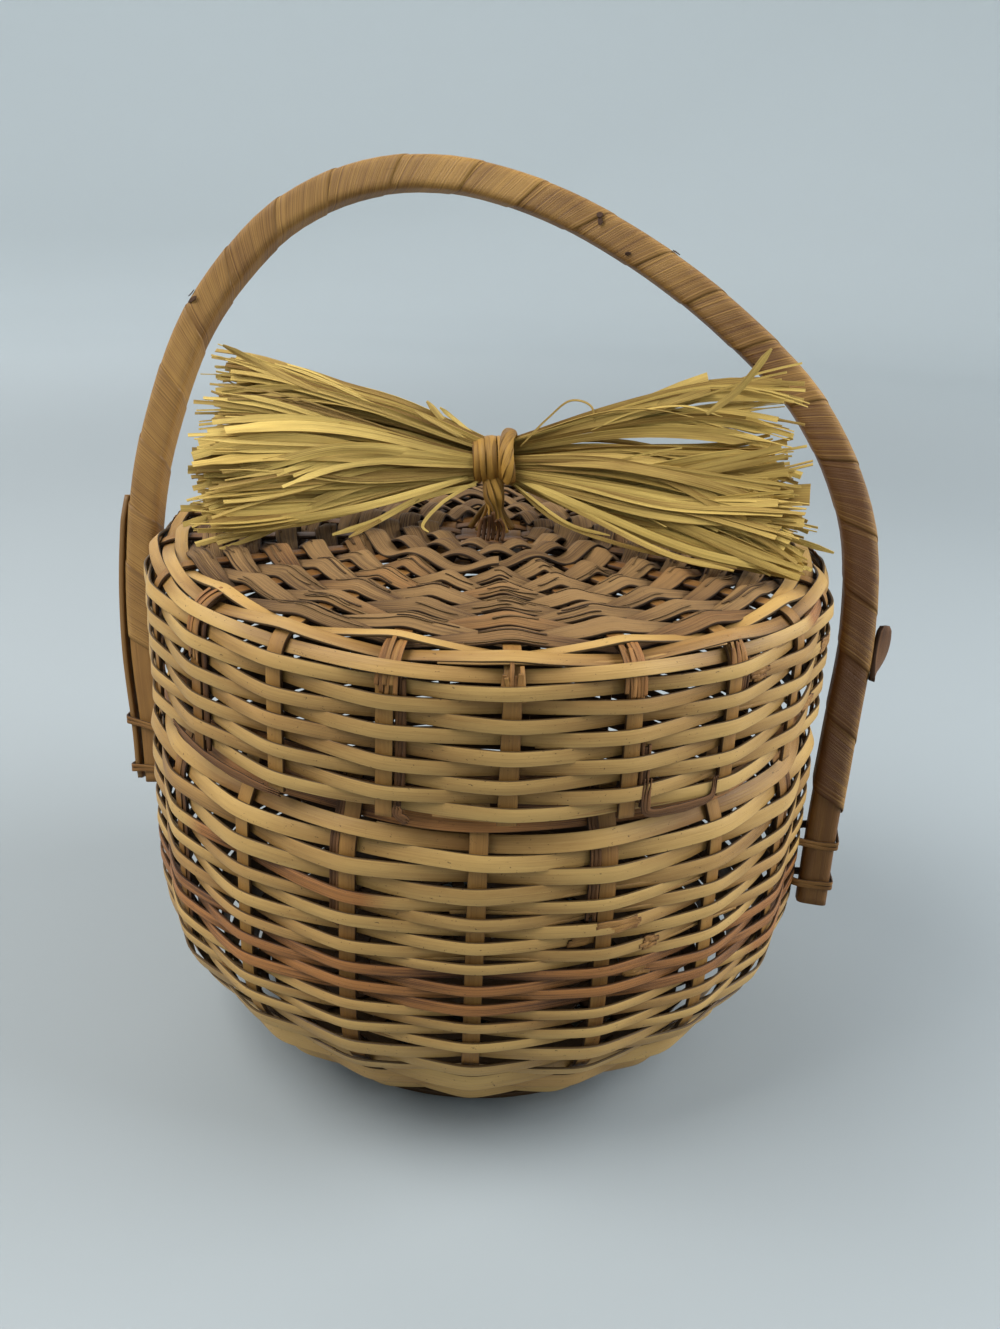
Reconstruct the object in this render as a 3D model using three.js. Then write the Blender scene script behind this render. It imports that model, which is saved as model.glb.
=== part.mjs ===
// Basket bag: round lidded basket of split bamboo, wrapped strap handle, raffia bow on the lid.
// Millimetres, +Z up, origin on the floor under the middle of the base, the front faces -Y.
import * as THREE from 'three';

const FULL_TURN = 2 * Math.PI;
const degrees = (angle) => (angle * Math.PI) / 180;

// Splints
const STAKE_WIDTH = 3.7;
const STAKE_THICKNESS = 0.8;
const WEAVER_THICKNESS = 0.6;
const WEAVE_GAP = 0.16;
const CROSSING_GAP = 0.3;
const LATTICE_SLIT = 1.5;
const LATTICE_PITCH = STAKE_WIDTH + LATTICE_SLIT;
const FAN_START = 5.4;
const LATTICE_COUNT = 5;
const LATTICE_REACH = ((LATTICE_COUNT - 1) / 2) * LATTICE_PITCH + FAN_START;

// Body: middle surface of the weave, from the middle of the base out and up to the neck
const BODY_STAKES = 19;
const BODY_FIRST_STAKE = degrees(270);
const BASE_HEIGHT = 3.6;
const BASE_RADIUS = 52.5;
const WALL_RADIUS = 80;
const WEAVE_DEPTH = 1.65;
const NECK_CLEARANCE = 0.7;
const NECK_RADIUS = WALL_RADIUS - 2 * WEAVE_DEPTH - NECK_CLEARANCE;
const LID_RIM = 89.4;
const SHOULDER_DROP = 7.4;
const NECK_HEIGHT = 10.6;
const BASE_ROUNDING = 14;
const NECK_ROUNDING = 8;
const BELLY_HEIGHT = 52;
const bellyRadius = (share) => BASE_RADIUS + share * (WALL_RADIUS - BASE_RADIUS);
const BODY_CORNERS = [
  [0, BASE_HEIGHT, 0],
  [BASE_RADIUS, BASE_HEIGHT, BASE_ROUNDING],
  [bellyRadius(0.364), BELLY_HEIGHT * 0.221, 0],
  [bellyRadius(0.644), BELLY_HEIGHT * 0.39, 0],
  [bellyRadius(0.84), BELLY_HEIGHT * 0.529, 0],
  [bellyRadius(0.949), BELLY_HEIGHT * 0.644, 0],
  [bellyRadius(0.993), BELLY_HEIGHT * 0.808, 0],
  [WALL_RADIUS, BELLY_HEIGHT, 0],
  [WALL_RADIUS, LID_RIM - SHOULDER_DROP, NECK_ROUNDING],
  [NECK_RADIUS, LID_RIM - CROSSING_GAP, NECK_ROUNDING],
  [NECK_RADIUS, LID_RIM + NECK_HEIGHT, 0],
];
const BODY_FAN_LENGTH = 9.2;
const BODY_FAN_RADIUS = LATTICE_REACH + BODY_FAN_LENGTH;
const BODY_ROW_START = 2.5;
const BODY_FIRST_ROW = BODY_FAN_RADIUS + BODY_ROW_START;
const BODY_RIM_MARGIN = 1;
const BODY_CROSSINGS = 58;
const BASE_ROWS = { pitch: 4.4, width: 3.2 };
const LOW_ROWS = { pitch: 4.4, width: 3.3 };
const MIDDLE_ROWS = { pitch: 3.6, width: 2.5 };
const HIGH_ROWS = { pitch: 4.5, width: 3.4 };
const NECK_ROWS = { pitch: 4.2, width: 3.2 };
const BODY_WEAVERS = [
  BASE_ROWS, BASE_ROWS, LOW_ROWS, LOW_ROWS, LOW_ROWS,
  MIDDLE_ROWS, MIDDLE_ROWS, HIGH_ROWS, HIGH_ROWS, NECK_ROWS,
];
const BROWN_BODY_WEAVER = 6;
const HOOP_OVERHANG = 0.9;
const HOOP_WIDTH = 3.6;
const HOOP_OUTER = BASE_RADIUS + HOOP_OVERHANG;
const HOOP_INNER = HOOP_OUTER - HOOP_WIDTH;
const HOOP_THICKNESS = 1.2;

// Lid: middle surface of the weave, from the middle of the top out and down to the rim
const LID_STAKES = 21;
const LID_FIRST_STAKE = degrees(273.7);
const LID_RADIUS = WALL_RADIUS;
const LID_TOP = 123.2;
const LID_CROWN = 0.8;
const LID_MIDDLE_TOP = LID_TOP + LID_CROWN;
const LID_CORNERS = [
  [0, LID_MIDDLE_TOP, 0],
  [LID_RADIUS, LID_TOP, 6],
  [LID_RADIUS, LID_RIM, 0],
];
const LID_FAN_LENGTH = 13.2;
const LID_FAN_RADIUS = LATTICE_REACH + LID_FAN_LENGTH;
const LID_ROW_START = 1.5;
const LID_FIRST_ROW = LID_FAN_RADIUS + LID_ROW_START;
const LID_RIM_MARGIN = 1;
const LID_CROSSINGS = 64;
const SKIRT_ROWS = { pitch: 3.1, width: 2.35 };
const LID_WEAVERS = [
  { pitch: 4.7, width: 3.6 },
  { pitch: 4.5, width: 3.4 },
  { pitch: 4.1, width: 3 },
  SKIRT_ROWS, SKIRT_ROWS, SKIRT_ROWS, SKIRT_ROWS,
];

// Handle: a strap bent in a plane that goes through both feet and leans back
const FOOT_HEIGHT = 48;
const LEFT_FOOT_STAKE = -5;
const RIGHT_FOOT_STAKE = 4;
const HANDLE_LEAN = degrees(14);
const CORE_HALF_THICKNESS = 3.6;
const CORE_HALF_DEPTH = 3.4;
const CORE_CHAMFER = 1.6;
const CORE_RINGS = 56;
const FOOT_STANDOFF = 5.8;
const HANDLE_HALF_SPAN = WALL_RADIUS + FOOT_STANDOFF;
const HANDLE_RISE = 160.4;
const HANDLE_LINE = [
  [-1, 0.012], [-1.021, 0.094], [-1.068, 0.237], [-1.086, 0.374], [-1.076, 0.511], [-1.031, 0.63],
  [-0.962, 0.742], [-0.862, 0.832], [-0.699, 0.926], [-0.478, 0.985], [-0.233, 1], [0.047, 0.97],
  [0.326, 0.904], [0.606, 0.807], [0.846, 0.689], [1, 0.536], [1.04, 0.387], [1.026, 0.218],
  [1.009, 0.062], [1.002, -0.056],
].map(([share, rise]) => [share * HANDLE_HALF_SPAN, rise * HANDLE_RISE]);
const WRAP_TURNS = 22;
const WRAP_THICKNESS = 0.5;
const WRAP_GAP = 0.4;
const WRAP_SLIT = 0.7;
const WRAP_START = 25;
const WRAP_END = 25;
const STRAP_THICKNESS = 1.4;
const STRAP_WIDTH = 7;
const LEFT_STRAP = { from: 1, to: 75, lift: 0.4 };
const RIGHT_STRAP = { from: 57, to: 70, lift: 2.4 };
const LEFT_LOOP_HEIGHTS = [55, 65];
const RIGHT_LOOP_HEIGHTS = [44, 54];
const LOOP_ROOM = 0.7;
const LOOP_TALL = 0.45;
const LOOP_THICK = 1.2;

// Raffia bow
const KNOT_RISE = 18;
const KNOT_HEIGHT = LID_MIDDLE_TOP + KNOT_RISE;
const WAIST_RADIUS = 4.6;
const BINDING_LOOPS = 4;
const BINDING_PITCH = 1.9;
const BINDING_SIZE = 1.2;
const TIE_SIZE = 0.9;
const FAN_SIDES = 18;

const material = (color) => new THREE.MeshStandardMaterial({ color, roughness: 0.75, metalness: 0 });
const STAKE_MATERIAL = material(0xc29c5e);
const WEAVER_MATERIAL = material(0xcaa767);
const PITH_MATERIAL = material(0x9c7145);
const LID_TOP_MATERIAL = material(0xab8a62);
const HANDLE_MATERIAL = material(0xb98c50);
const WRAP_MATERIAL = material(0xc99f62);
const RAFFIA_MATERIAL = material(0xc4a856);

const basket = new THREE.Group();
basket.name = 'basket_bag';

// Closed solid from a row of rings with the same number of points, turned to face out
function solidFromRings(rings, closed = false) {
  const sides = rings[0].length;
  const positions = [];
  const triangle = (a, b, c) => positions.push(a, b, c);
  const steps = closed ? rings.length : rings.length - 1;
  for (let step = 0; step < steps; step += 1) {
    const here = rings[step];
    const next = rings[(step + 1) % rings.length];
    for (let side = 0; side < sides; side += 1) {
      const other = (side + 1) % sides;
      triangle(here[side], here[other], next[other]);
      triangle(here[side], next[other], next[side]);
    }
  }
  if (!closed) {
    const first = rings[0];
    const last = rings[rings.length - 1];
    for (let side = 1; side < sides - 1; side += 1) {
      triangle(first[0], first[side + 1], first[side]);
      triangle(last[0], last[side], last[side + 1]);
    }
  }
  let volume = 0;
  for (let index = 0; index < positions.length; index += 3) {
    const cross = new THREE.Vector3().crossVectors(positions[index + 1], positions[index + 2]);
    volume += positions[index].dot(cross);
  }
  const numbers = [];
  for (let index = 0; index < positions.length; index += 3) {
    const order = volume > 0 ? [0, 1, 2] : [0, 2, 1];
    for (const corner of order) numbers.push(...positions[index + corner].toArray());
  }
  const geometry = new THREE.BufferGeometry();
  geometry.setAttribute('position', new THREE.Float32BufferAttribute(numbers, 3));
  geometry.computeVertexNormals();
  return geometry;
}

function addPiece(name, geometry, look) {
  const mesh = new THREE.Mesh(geometry, look);
  mesh.name = name;
  basket.add(mesh);
}

// Profile of a woven shell: polyline with rounded corners, its lengths, tangents and outward normals
function makeProfile(corners) {
  const points = [];
  corners.forEach(([radius, height, rounding], index) => {
    const corner = new THREE.Vector2(radius, height);
    if (rounding === 0) {
      points.push(corner);
      return;
    }
    const before = new THREE.Vector2(corners[index - 1][0], corners[index - 1][1]).sub(corner).normalize();
    const after = new THREE.Vector2(corners[index + 1][0], corners[index + 1][1]).sub(corner).normalize();
    const half = Math.acos(before.dot(after)) / 2;
    const centre = before.clone().add(after).normalize().multiplyScalar(rounding / Math.sin(half)).add(corner);
    const from = before.clone().multiplyScalar(rounding / Math.tan(half)).add(corner).sub(centre);
    const to = after.clone().multiplyScalar(rounding / Math.tan(half)).add(corner).sub(centre);
    const turn = Math.atan2(from.x * to.y - from.y * to.x, from.dot(to));
    const steps = Math.max(2, Math.round(Math.abs(turn) / degrees(18)));
    for (let step = 0; step <= steps; step += 1) {
      points.push(from.clone().rotateAround(new THREE.Vector2(), (turn * step) / steps).add(centre));
    }
  });
  const lengths = [0];
  for (let index = 1; index < points.length; index += 1) {
    lengths.push(lengths[index - 1] + points[index].distanceTo(points[index - 1]));
  }
  const tangents = points.map((point, index) => {
    const back = points[Math.max(index - 1, 0)];
    const front = points[Math.min(index + 1, points.length - 1)];
    const one = index > 0 ? point.clone().sub(back).normalize() : new THREE.Vector2();
    const two = index < points.length - 1 ? front.clone().sub(point).normalize() : new THREE.Vector2();
    return one.add(two).normalize();
  });
  const side = corners[corners.length - 1][1] > corners[0][1] ? 1 : -1;
  return { points, lengths, tangents, side, total: lengths[lengths.length - 1] };
}

function profileAt(profile, length) {
  let index = 1;
  while (index < profile.lengths.length - 1 && profile.lengths[index] < length) index += 1;
  const span = profile.lengths[index] - profile.lengths[index - 1];
  const part = Math.min(Math.max((length - profile.lengths[index - 1]) / span, 0), 1);
  const point = profile.points[index - 1].clone().lerp(profile.points[index], part);
  const tangent = profile.tangents[index - 1].clone().lerp(profile.tangents[index], part).normalize();
  const normal = new THREE.Vector2(tangent.y, -tangent.x).multiplyScalar(profile.side);
  return { point, tangent, normal };
}

const around = (flat, angle) => new THREE.Vector3(flat.x * Math.cos(angle), flat.x * Math.sin(angle), flat.y);

// Flat strip along a path of places, each with the direction of its thickness
function stripSolid(path, width, thickness) {
  const rings = path.map(({ place, normal }, index) => {
    const back = path[Math.max(index - 1, 0)].place;
    const front = path[Math.min(index + 1, path.length - 1)].place;
    const into = place.clone().sub(back).normalize();
    const out = front.clone().sub(place).normalize();
    const across = normal.clone().cross(into.clone().add(out)).normalize();
    const one = normal.clone().cross(index > 0 ? into : out).normalize();
    const half = across.multiplyScalar(width / 2 / Math.max(across.dot(one), 0.7));
    const rise = normal.clone().multiplyScalar(thickness / 2);
    return [
      place.clone().sub(half).sub(rise),
      place.clone().add(half).sub(rise),
      place.clone().add(half).add(rise),
      place.clone().sub(half).add(rise),
    ];
  });
  return solidFromRings(rings);
}

// One half of a crossing splint, from the lattice edge out to the rim
function stakeEnd(shell, angle, from) {
  const path = [];
  const start = profileAt(shell.profile, from);
  path.push({ place: around(start.point, angle), normal: around(start.normal, angle) });
  shell.profile.points.forEach((point, index) => {
    const length = shell.profile.lengths[index];
    if (length < from + 2) return;
    const { normal } = profileAt(shell.profile, length);
    path.push({ place: around(point, angle), normal: around(normal, angle) });
  });
  return path;
}

function addStakes(shell) {
  const middle = profileAt(shell.profile, 0).point.y;
  const upright = new THREE.Vector3(0, 0, -shell.profile.side);
  const offset = (index, count) => (index - (count - 1) / 2) * LATTICE_PITCH;
  const rise = (STAKE_THICKNESS + CROSSING_GAP) / 2;
  const flat = STAKE_WIDTH / 2 + 0.1;
  const addCrossing = (name, index, count, crossed, alongX, ends) => {
    const aside = offset(index, count);
    const at = (along, height) => ({
      place: new THREE.Vector3(alongX ? along : aside, alongX ? aside : along, middle + height),
      normal: upright,
    });
    const reach = offset(crossed - 1, crossed) + FAN_START;
    const lattice = [at(-reach, 0)];
    for (let other = 0; other < crossed; other += 1) {
      const over = (index + other) % 2 === (alongX ? 0 : 1) ? rise : -rise;
      lattice.push(at(offset(other, crossed) - flat, over), at(offset(other, crossed) + flat, over));
    }
    lattice.push(at(reach, 0));
    const low = stakeEnd(shell, shell.angle(ends[0]), shell.fanRadius).reverse();
    const high = stakeEnd(shell, shell.angle(ends[1]), shell.fanRadius);
    addPiece(name, stripSolid([...low, ...lattice, ...high], STAKE_WIDTH, STAKE_THICKNESS), shell.look);
  };
  shell.xEnds.forEach((ends, index) => {
    addCrossing(`${shell.name}_stake_x${index + 1}`, index, shell.xEnds.length, shell.yEnds.length, true, ends);
  });
  shell.yEnds.forEach((ends, index) => {
    addCrossing(`${shell.name}_stake_y${index + 1}`, index, shell.yEnds.length, shell.xEnds.length, false, ends);
  });
  const single = stakeEnd(shell, shell.angle(shell.single), shell.singleStart);
  addPiece(`${shell.name}_stake_single`, stripSolid(single, STAKE_WIDTH, STAKE_THICKNESS), shell.look);
}

// How far the rows spread so that the last one ends at the rim of the shell
function rowSpread(shell) {
  const crossings = shell.weavers.map((rows) => rows.pitch * shell.crossings);
  const plain = crossings.reduce((sum, length) => sum + length, 0) / shell.stakes;
  const room = shell.profile.total - shell.rimMargin - shell.firstRow;
  const last = shell.weavers[shell.weavers.length - 1].width / 2;
  return (room - last) / plain;
}

// Length along the profile of the row at a crossing, counted on from the first row
function rowLength(shell, crossing) {
  const spread = rowSpread(shell);
  let length = shell.firstRow;
  let left = crossing;
  for (const rows of shell.weavers) {
    const share = Math.min(left, shell.crossings);
    length += (share * rows.pitch * spread) / shell.stakes;
    left -= share;
    if (left <= 0) return length;
  }
  return length + (left * shell.weavers[shell.weavers.length - 1].pitch * spread) / shell.stakes;
}

function weaverRing(shell, crossing, width) {
  const { point, tangent, normal } = profileAt(shell.profile, rowLength(shell, crossing));
  const angle = shell.angle(crossing);
  const spacing = 2 * point.x * Math.sin(Math.PI / shell.stakes);
  const edgeDrop = (STAKE_WIDTH / 2) * Math.tan(Math.PI / shell.stakes);
  const clear = STAKE_THICKNESS / 2 + WEAVER_THICKNESS / 2 + edgeDrop + WEAVE_GAP;
  const swing = clear / (1 - STAKE_WIDTH / spacing);
  const place = point.clone().addScaledVector(normal, crossing % 2 === 0 ? -swing : swing);
  const corner = (along, out) => {
    const flat = place.clone().addScaledVector(tangent, along * width * rowSpread(shell) * 0.5);
    return around(flat.addScaledVector(normal, out * WEAVER_THICKNESS * 0.5), angle);
  };
  return [corner(-1, -1), corner(1, -1), corner(1, 1), corner(-1, 1)];
}

function addWeavers(shell) {
  shell.weavers.forEach((rows, index) => {
    const first = index * shell.crossings;
    const last = first + shell.crossings;
    const between = (crossing, part) => {
      const one = weaverRing(shell, crossing, rows.width);
      const two = weaverRing(shell, crossing + 1, rows.width);
      return one.map((corner, side) => corner.clone().lerp(two[side], part));
    };
    const rings = [between(first, 0.16)];
    for (let crossing = first + 1; crossing <= last; crossing += 1) {
      rings.push(weaverRing(shell, crossing, rows.width));
    }
    rings.push(between(last, 0.1));
    addPiece(`${shell.name}_weaver_${index + 1}`, solidFromRings(rings), shell.weaverLook(index));
  });
}

const body = {
  name: 'body',
  profile: makeProfile(BODY_CORNERS),
  stakes: BODY_STAKES,
  angle: (stake) => BODY_FIRST_STAKE + (stake * FULL_TURN) / BODY_STAKES,
  xEnds: [[-3, 3], [-4, 4], [-5, 5], [-6, 6], [-7, 7]],
  yEnds: [[-2, -8], [-1, -9], [1, 9], [2, 8]],
  single: 0,
  singleStart: 19.5,
  fanRadius: BODY_FAN_RADIUS,
  firstRow: BODY_FIRST_ROW,
  rimMargin: BODY_RIM_MARGIN,
  crossings: BODY_CROSSINGS,
  weavers: BODY_WEAVERS,
  look: STAKE_MATERIAL,
  weaverLook: (index) => (index === BROWN_BODY_WEAVER ? PITH_MATERIAL : WEAVER_MATERIAL),
};
const lid = {
  name: 'lid',
  profile: makeProfile(LID_CORNERS),
  stakes: LID_STAKES,
  angle: (stake) => LID_FIRST_STAKE + (stake * FULL_TURN) / LID_STAKES,
  xEnds: [[-3, 3], [-4, 4], [-6, 5], [-7, 6], [-8, 7]],
  yEnds: [[-2, -9], [-1, -10], [0, 10], [1, 9], [2, 8]],
  single: -5,
  singleStart: 22,
  fanRadius: LID_FAN_RADIUS,
  firstRow: LID_FIRST_ROW,
  rimMargin: LID_RIM_MARGIN,
  crossings: LID_CROSSINGS,
  weavers: LID_WEAVERS,
  look: STAKE_MATERIAL,
  weaverLook: (index) => (index < 3 ? LID_TOP_MATERIAL : WEAVER_MATERIAL),
};
for (const shell of [body, lid]) {
  addStakes(shell);
  addWeavers(shell);
}

// Flat hoop that the base stands on
const hoopRings = [];
for (let step = 0; step < 2 * BODY_STAKES; step += 1) {
  const angle = (step * FULL_TURN) / (2 * BODY_STAKES);
  const corner = (radius, height) => around(new THREE.Vector2(radius, height), angle);
  hoopRings.push([
    corner(HOOP_INNER, 0),
    corner(HOOP_OUTER, 0),
    corner(HOOP_OUTER, HOOP_THICKNESS),
    corner(HOOP_INNER, HOOP_THICKNESS),
  ]);
}
addPiece('base_hoop', solidFromRings(hoopRings, true), STAKE_MATERIAL);

// Handle plane: across from foot to foot, up along the lean, and out of the plane
const footPlace = (stake) => around(new THREE.Vector2(WALL_RADIUS, FOOT_HEIGHT), body.angle(stake));
const leftFoot = footPlace(LEFT_FOOT_STAKE);
const rightFoot = footPlace(RIGHT_FOOT_STAKE);
const handleMiddle = leftFoot.clone().add(rightFoot).multiplyScalar(0.5);
const handleAcross = rightFoot.clone().sub(leftFoot).normalize();
const handleBack = new THREE.Vector3(0, 0, 1).cross(handleAcross);
const handleUp = new THREE.Vector3(0, 0, Math.cos(HANDLE_LEAN)).addScaledVector(handleBack, Math.sin(HANDLE_LEAN));
const handleDeep = handleUp.clone().cross(handleAcross).normalize();
const handleCurve = new THREE.CatmullRomCurve3(
  HANDLE_LINE.map(([across, up]) => handleMiddle.clone()
    .addScaledVector(handleAcross, across)
    .addScaledVector(handleUp, up)),
  false,
  'centripetal',
);
handleCurve.arcLengthDivisions = 2000;
const handleLength = handleCurve.getLength();

function handlePlace(length, outward, deep) {
  const part = Math.min(Math.max(length / handleLength, 0), 1);
  const tangent = handleCurve.getTangentAt(part);
  const away = tangent.clone().cross(handleDeep).normalize();
  return handleCurve.getPointAt(part).addScaledVector(away, outward).addScaledVector(handleDeep, deep);
}

function coreCorner(corner, grow) {
  const tall = CORE_HALF_THICKNESS + grow;
  const wide = CORE_HALF_DEPTH + grow;
  const cut = CORE_CHAMFER + grow * 0.6;
  const corners = [
    [tall, cut - wide], [tall, wide - cut], [tall - cut, wide], [cut - tall, wide],
    [-tall, wide - cut], [-tall, cut - wide], [cut - tall, -wide], [tall - cut, -wide],
  ];
  return corners[corner % 8];
}

const coreRings = [];
for (let ring = 0; ring <= CORE_RINGS; ring += 1) {
  const length = (handleLength * ring) / CORE_RINGS;
  const corners = [];
  for (let corner = 0; corner < 8; corner += 1) corners.push(handlePlace(length, ...coreCorner(corner, 0)));
  coreRings.push(corners);
}
addPiece('handle_core', solidFromRings(coreRings), HANDLE_MATERIAL);

// Leaf strip wound on the core, and the least gap between its own turns
const wrapPitch = (handleLength - WRAP_START - WRAP_END) / (WRAP_TURNS + 1);
const wrapWidth = wrapPitch - WRAP_SLIT;
const wrapRings = [];
for (let step = 0; step <= WRAP_TURNS * 8; step += 1) {
  const start = WRAP_START + (wrapPitch * step) / 8;
  const inner = coreCorner(step, WRAP_GAP);
  const outer = coreCorner(step, WRAP_GAP + WRAP_THICKNESS);
  const lengths = [start, start + wrapWidth / 2, start + wrapWidth];
  const under = lengths.map((length) => handlePlace(length, ...inner));
  const over = lengths.map((length) => handlePlace(length, ...outer)).reverse();
  wrapRings.push([...under, ...over]);
}
let wrapLeast = Infinity;
for (let step = 0; step + 8 < wrapRings.length; step += 1) {
  for (const ending of [wrapRings[step][2], wrapRings[step][3]]) {
    for (const beginning of [wrapRings[step + 8][0], wrapRings[step + 8][5]]) {
      wrapLeast = Math.min(wrapLeast, ending.distanceTo(beginning));
    }
  }
}
console.log(`handle wrap: ${WRAP_TURNS} loops, least gap to itself ${wrapLeast.toFixed(2)} mm`);
addPiece('handle_wrap', solidFromRings(wrapRings), WRAP_MATERIAL);

// Ends of the strap folded back up outside each leg
const strapFace = CORE_HALF_THICKNESS + WRAP_GAP + WRAP_THICKNESS + CROSSING_GAP;
function addStrapEnd(name, from, to, lift) {
  const rings = [];
  const steps = Math.max(3, Math.round(Math.abs(to - from) / 9));
  for (let step = 0; step <= steps; step += 1) {
    const part = step / steps;
    const near = strapFace + lift * part * part;
    const half = STRAP_WIDTH / 2;
    const length = from + (to - from) * part;
    rings.push([
      handlePlace(length, near, -half),
      handlePlace(length, near, half),
      handlePlace(length, near + STRAP_THICKNESS, half),
      handlePlace(length, near + STRAP_THICKNESS, -half),
    ]);
  }
  addPiece(name, solidFromRings(rings), HANDLE_MATERIAL);
}
addStrapEnd('handle_strap_left', LEFT_STRAP.from, LEFT_STRAP.to, LEFT_STRAP.lift);
addStrapEnd(
  'handle_strap_right',
  handleLength - RIGHT_STRAP.from,
  handleLength - RIGHT_STRAP.to,
  RIGHT_STRAP.lift,
);

// Cane loops through the wall, each round one stake and the foot of the handle
function rowGap(stake, height) {
  const places = [];
  const total = BODY_WEAVERS.length * BODY_CROSSINGS;
  for (let crossing = ((stake % BODY_STAKES) + BODY_STAKES) % BODY_STAKES; crossing < total; crossing += BODY_STAKES) {
    places.push(rowLength(body, crossing));
  }
  const gaps = places.slice(1).map((length, index) => profileAt(body.profile, (length + places[index]) / 2).point);
  return gaps.reduce((best, now) => (Math.abs(now.y - height) < Math.abs(best.y - height) ? now : best));
}

function legAt(stake, height) {
  const place = (length) => handlePlace(stake === LEFT_FOOT_STAKE ? length : handleLength - length, 0, 0);
  let length = 0;
  while (place(length).z < height) length += 0.25;
  return place(length);
}

function addFootLoop(name, stake, target, reach) {
  const gap = rowGap(stake, target);
  const height = gap.y;
  const angle = body.angle(stake);
  const outward = new THREE.Vector3(Math.cos(angle), Math.sin(angle), 0);
  const aside = new THREE.Vector3(-Math.sin(angle), Math.cos(angle), 0);
  const leg = legAt(stake, height);
  const inside = gap.x - STAKE_THICKNESS / 2 - CROSSING_GAP - LOOP_THICK / 2;
  const outside = leg.dot(outward) + reach + CROSSING_GAP + LOOP_THICK / 2;
  const shift = leg.dot(aside);
  const legSide = Math.max(CORE_HALF_DEPTH, STRAP_WIDTH / 2) + LOOP_ROOM + LOOP_THICK / 2;
  const low = Math.min(shift, 0) - legSide;
  const high = Math.max(shift, 0) + legSide;
  const rings = [];
  const turns = [
    [inside, low, -1, -1], [inside, high, 1, -1], [outside, high, 1, 1], [outside, low, -1, 1],
  ];
  for (const [radius, along, sideways, outer] of turns) {
    const corner = (grow, rise) => outward.clone().multiplyScalar(radius + outer * grow * LOOP_THICK * 0.5)
      .addScaledVector(aside, along + sideways * grow * LOOP_THICK * 0.5)
      .add(new THREE.Vector3(0, 0, height + rise * LOOP_TALL * 0.5));
    rings.push([corner(-1, -1), corner(1, -1), corner(1, 1), corner(-1, 1)]);
  }
  addPiece(name, solidFromRings(rings, true), STAKE_MATERIAL);
}
LEFT_LOOP_HEIGHTS.forEach((height, index) => {
  addFootLoop(`foot_loop_left_${index + 1}`, LEFT_FOOT_STAKE, height, strapFace + STRAP_THICKNESS);
});
RIGHT_LOOP_HEIGHTS.forEach((height, index) => {
  addFootLoop(`foot_loop_right_${index + 1}`, RIGHT_FOOT_STAKE, height, CORE_HALF_THICKNESS + CROSSING_GAP);
});

// Raffia fans: each ring is a flattened fluted oval, leaning forward as it spreads
function addFan(name, rings) {
  const sections = rings.map(({ across, forward, height, tall, deep, lean, flute }) => {
    const ring = [];
    for (let side = 0; side < FAN_SIDES; side += 1) {
      const angle = (side * FULL_TURN) / FAN_SIDES;
      const ripple = side % 2 === 0 ? 1 : 1 - flute;
      const up = Math.sin(angle) * tall * ripple;
      const out = Math.cos(angle) * deep * ripple;
      ring.push(new THREE.Vector3(
        across + Math.sign(across) * (side % 3) * flute * 9,
        -forward + up * Math.sin(lean) + out * Math.cos(lean),
        KNOT_HEIGHT + height + up * Math.cos(lean) - out * Math.sin(lean),
      ));
    }
    return ring;
  });
  addPiece(name, solidFromRings(sections), RAFFIA_MATERIAL);
}
const WAIST_HALF = (BINDING_LOOPS * BINDING_PITCH) / 2 + 1.5;
const waistRing = (across) => ({
  across, forward: 0, height: 0, tall: WAIST_RADIUS, deep: WAIST_RADIUS, lean: 0, flute: 0,
});
addFan('raffia_fan_left', [
  waistRing(-0.2),
  waistRing(-WAIST_HALF),
  { across: -22, forward: 3, height: 2, tall: 10, deep: 5, lean: degrees(12), flute: 0.1 },
  { across: -40, forward: 5, height: 2.5, tall: 14, deep: 6, lean: degrees(22), flute: 0.16 },
  { across: -53, forward: 8, height: 2.8, tall: 18.5, deep: 6.5, lean: degrees(32), flute: 0.2 },
  { across: -62, forward: 10, height: 2.6, tall: 20, deep: 6.5, lean: degrees(38), flute: 0.24 },
]);
addFan('raffia_fan_right', [
  waistRing(0.2),
  waistRing(WAIST_HALF),
  { across: 22, forward: 7, height: 2, tall: 10, deep: 5, lean: degrees(6), flute: 0.1 },
  { across: 40, forward: 13, height: 3, tall: 15, deep: 5.5, lean: degrees(10), flute: 0.16 },
  { across: 54, forward: 19, height: 4.5, tall: 18.5, deep: 6, lean: degrees(14), flute: 0.2 },
  { across: 63, forward: 23, height: 5, tall: 19.5, deep: 6, lean: degrees(16), flute: 0.24 },
]);

// Binding wound round the waist of the bow, and its least gap to itself
const bindingRings = [];
const bindingSteps = 16;
for (let step = 0; step <= BINDING_LOOPS * bindingSteps; step += 1) {
  const angle = (step * FULL_TURN) / bindingSteps;
  const across = (step / bindingSteps - BINDING_LOOPS / 2) * BINDING_PITCH;
  const radius = WAIST_RADIUS + CROSSING_GAP + BINDING_SIZE / 2;
  const corner = (aside, out) => new THREE.Vector3(
    across + aside * BINDING_SIZE * 0.5,
    Math.cos(angle) * (radius + out * BINDING_SIZE * 0.5),
    KNOT_HEIGHT + Math.sin(angle) * (radius + out * BINDING_SIZE * 0.5),
  );
  bindingRings.push([corner(-1, -1), corner(1, -1), corner(1, 1), corner(-1, 1)]);
}
let bindingLeast = Infinity;
for (let step = 0; step + bindingSteps < bindingRings.length; step += 1) {
  for (const ending of [bindingRings[step][1], bindingRings[step][2]]) {
    for (const beginning of [bindingRings[step + bindingSteps][0], bindingRings[step + bindingSteps][3]]) {
      bindingLeast = Math.min(bindingLeast, ending.distanceTo(beginning));
    }
  }
}
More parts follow.
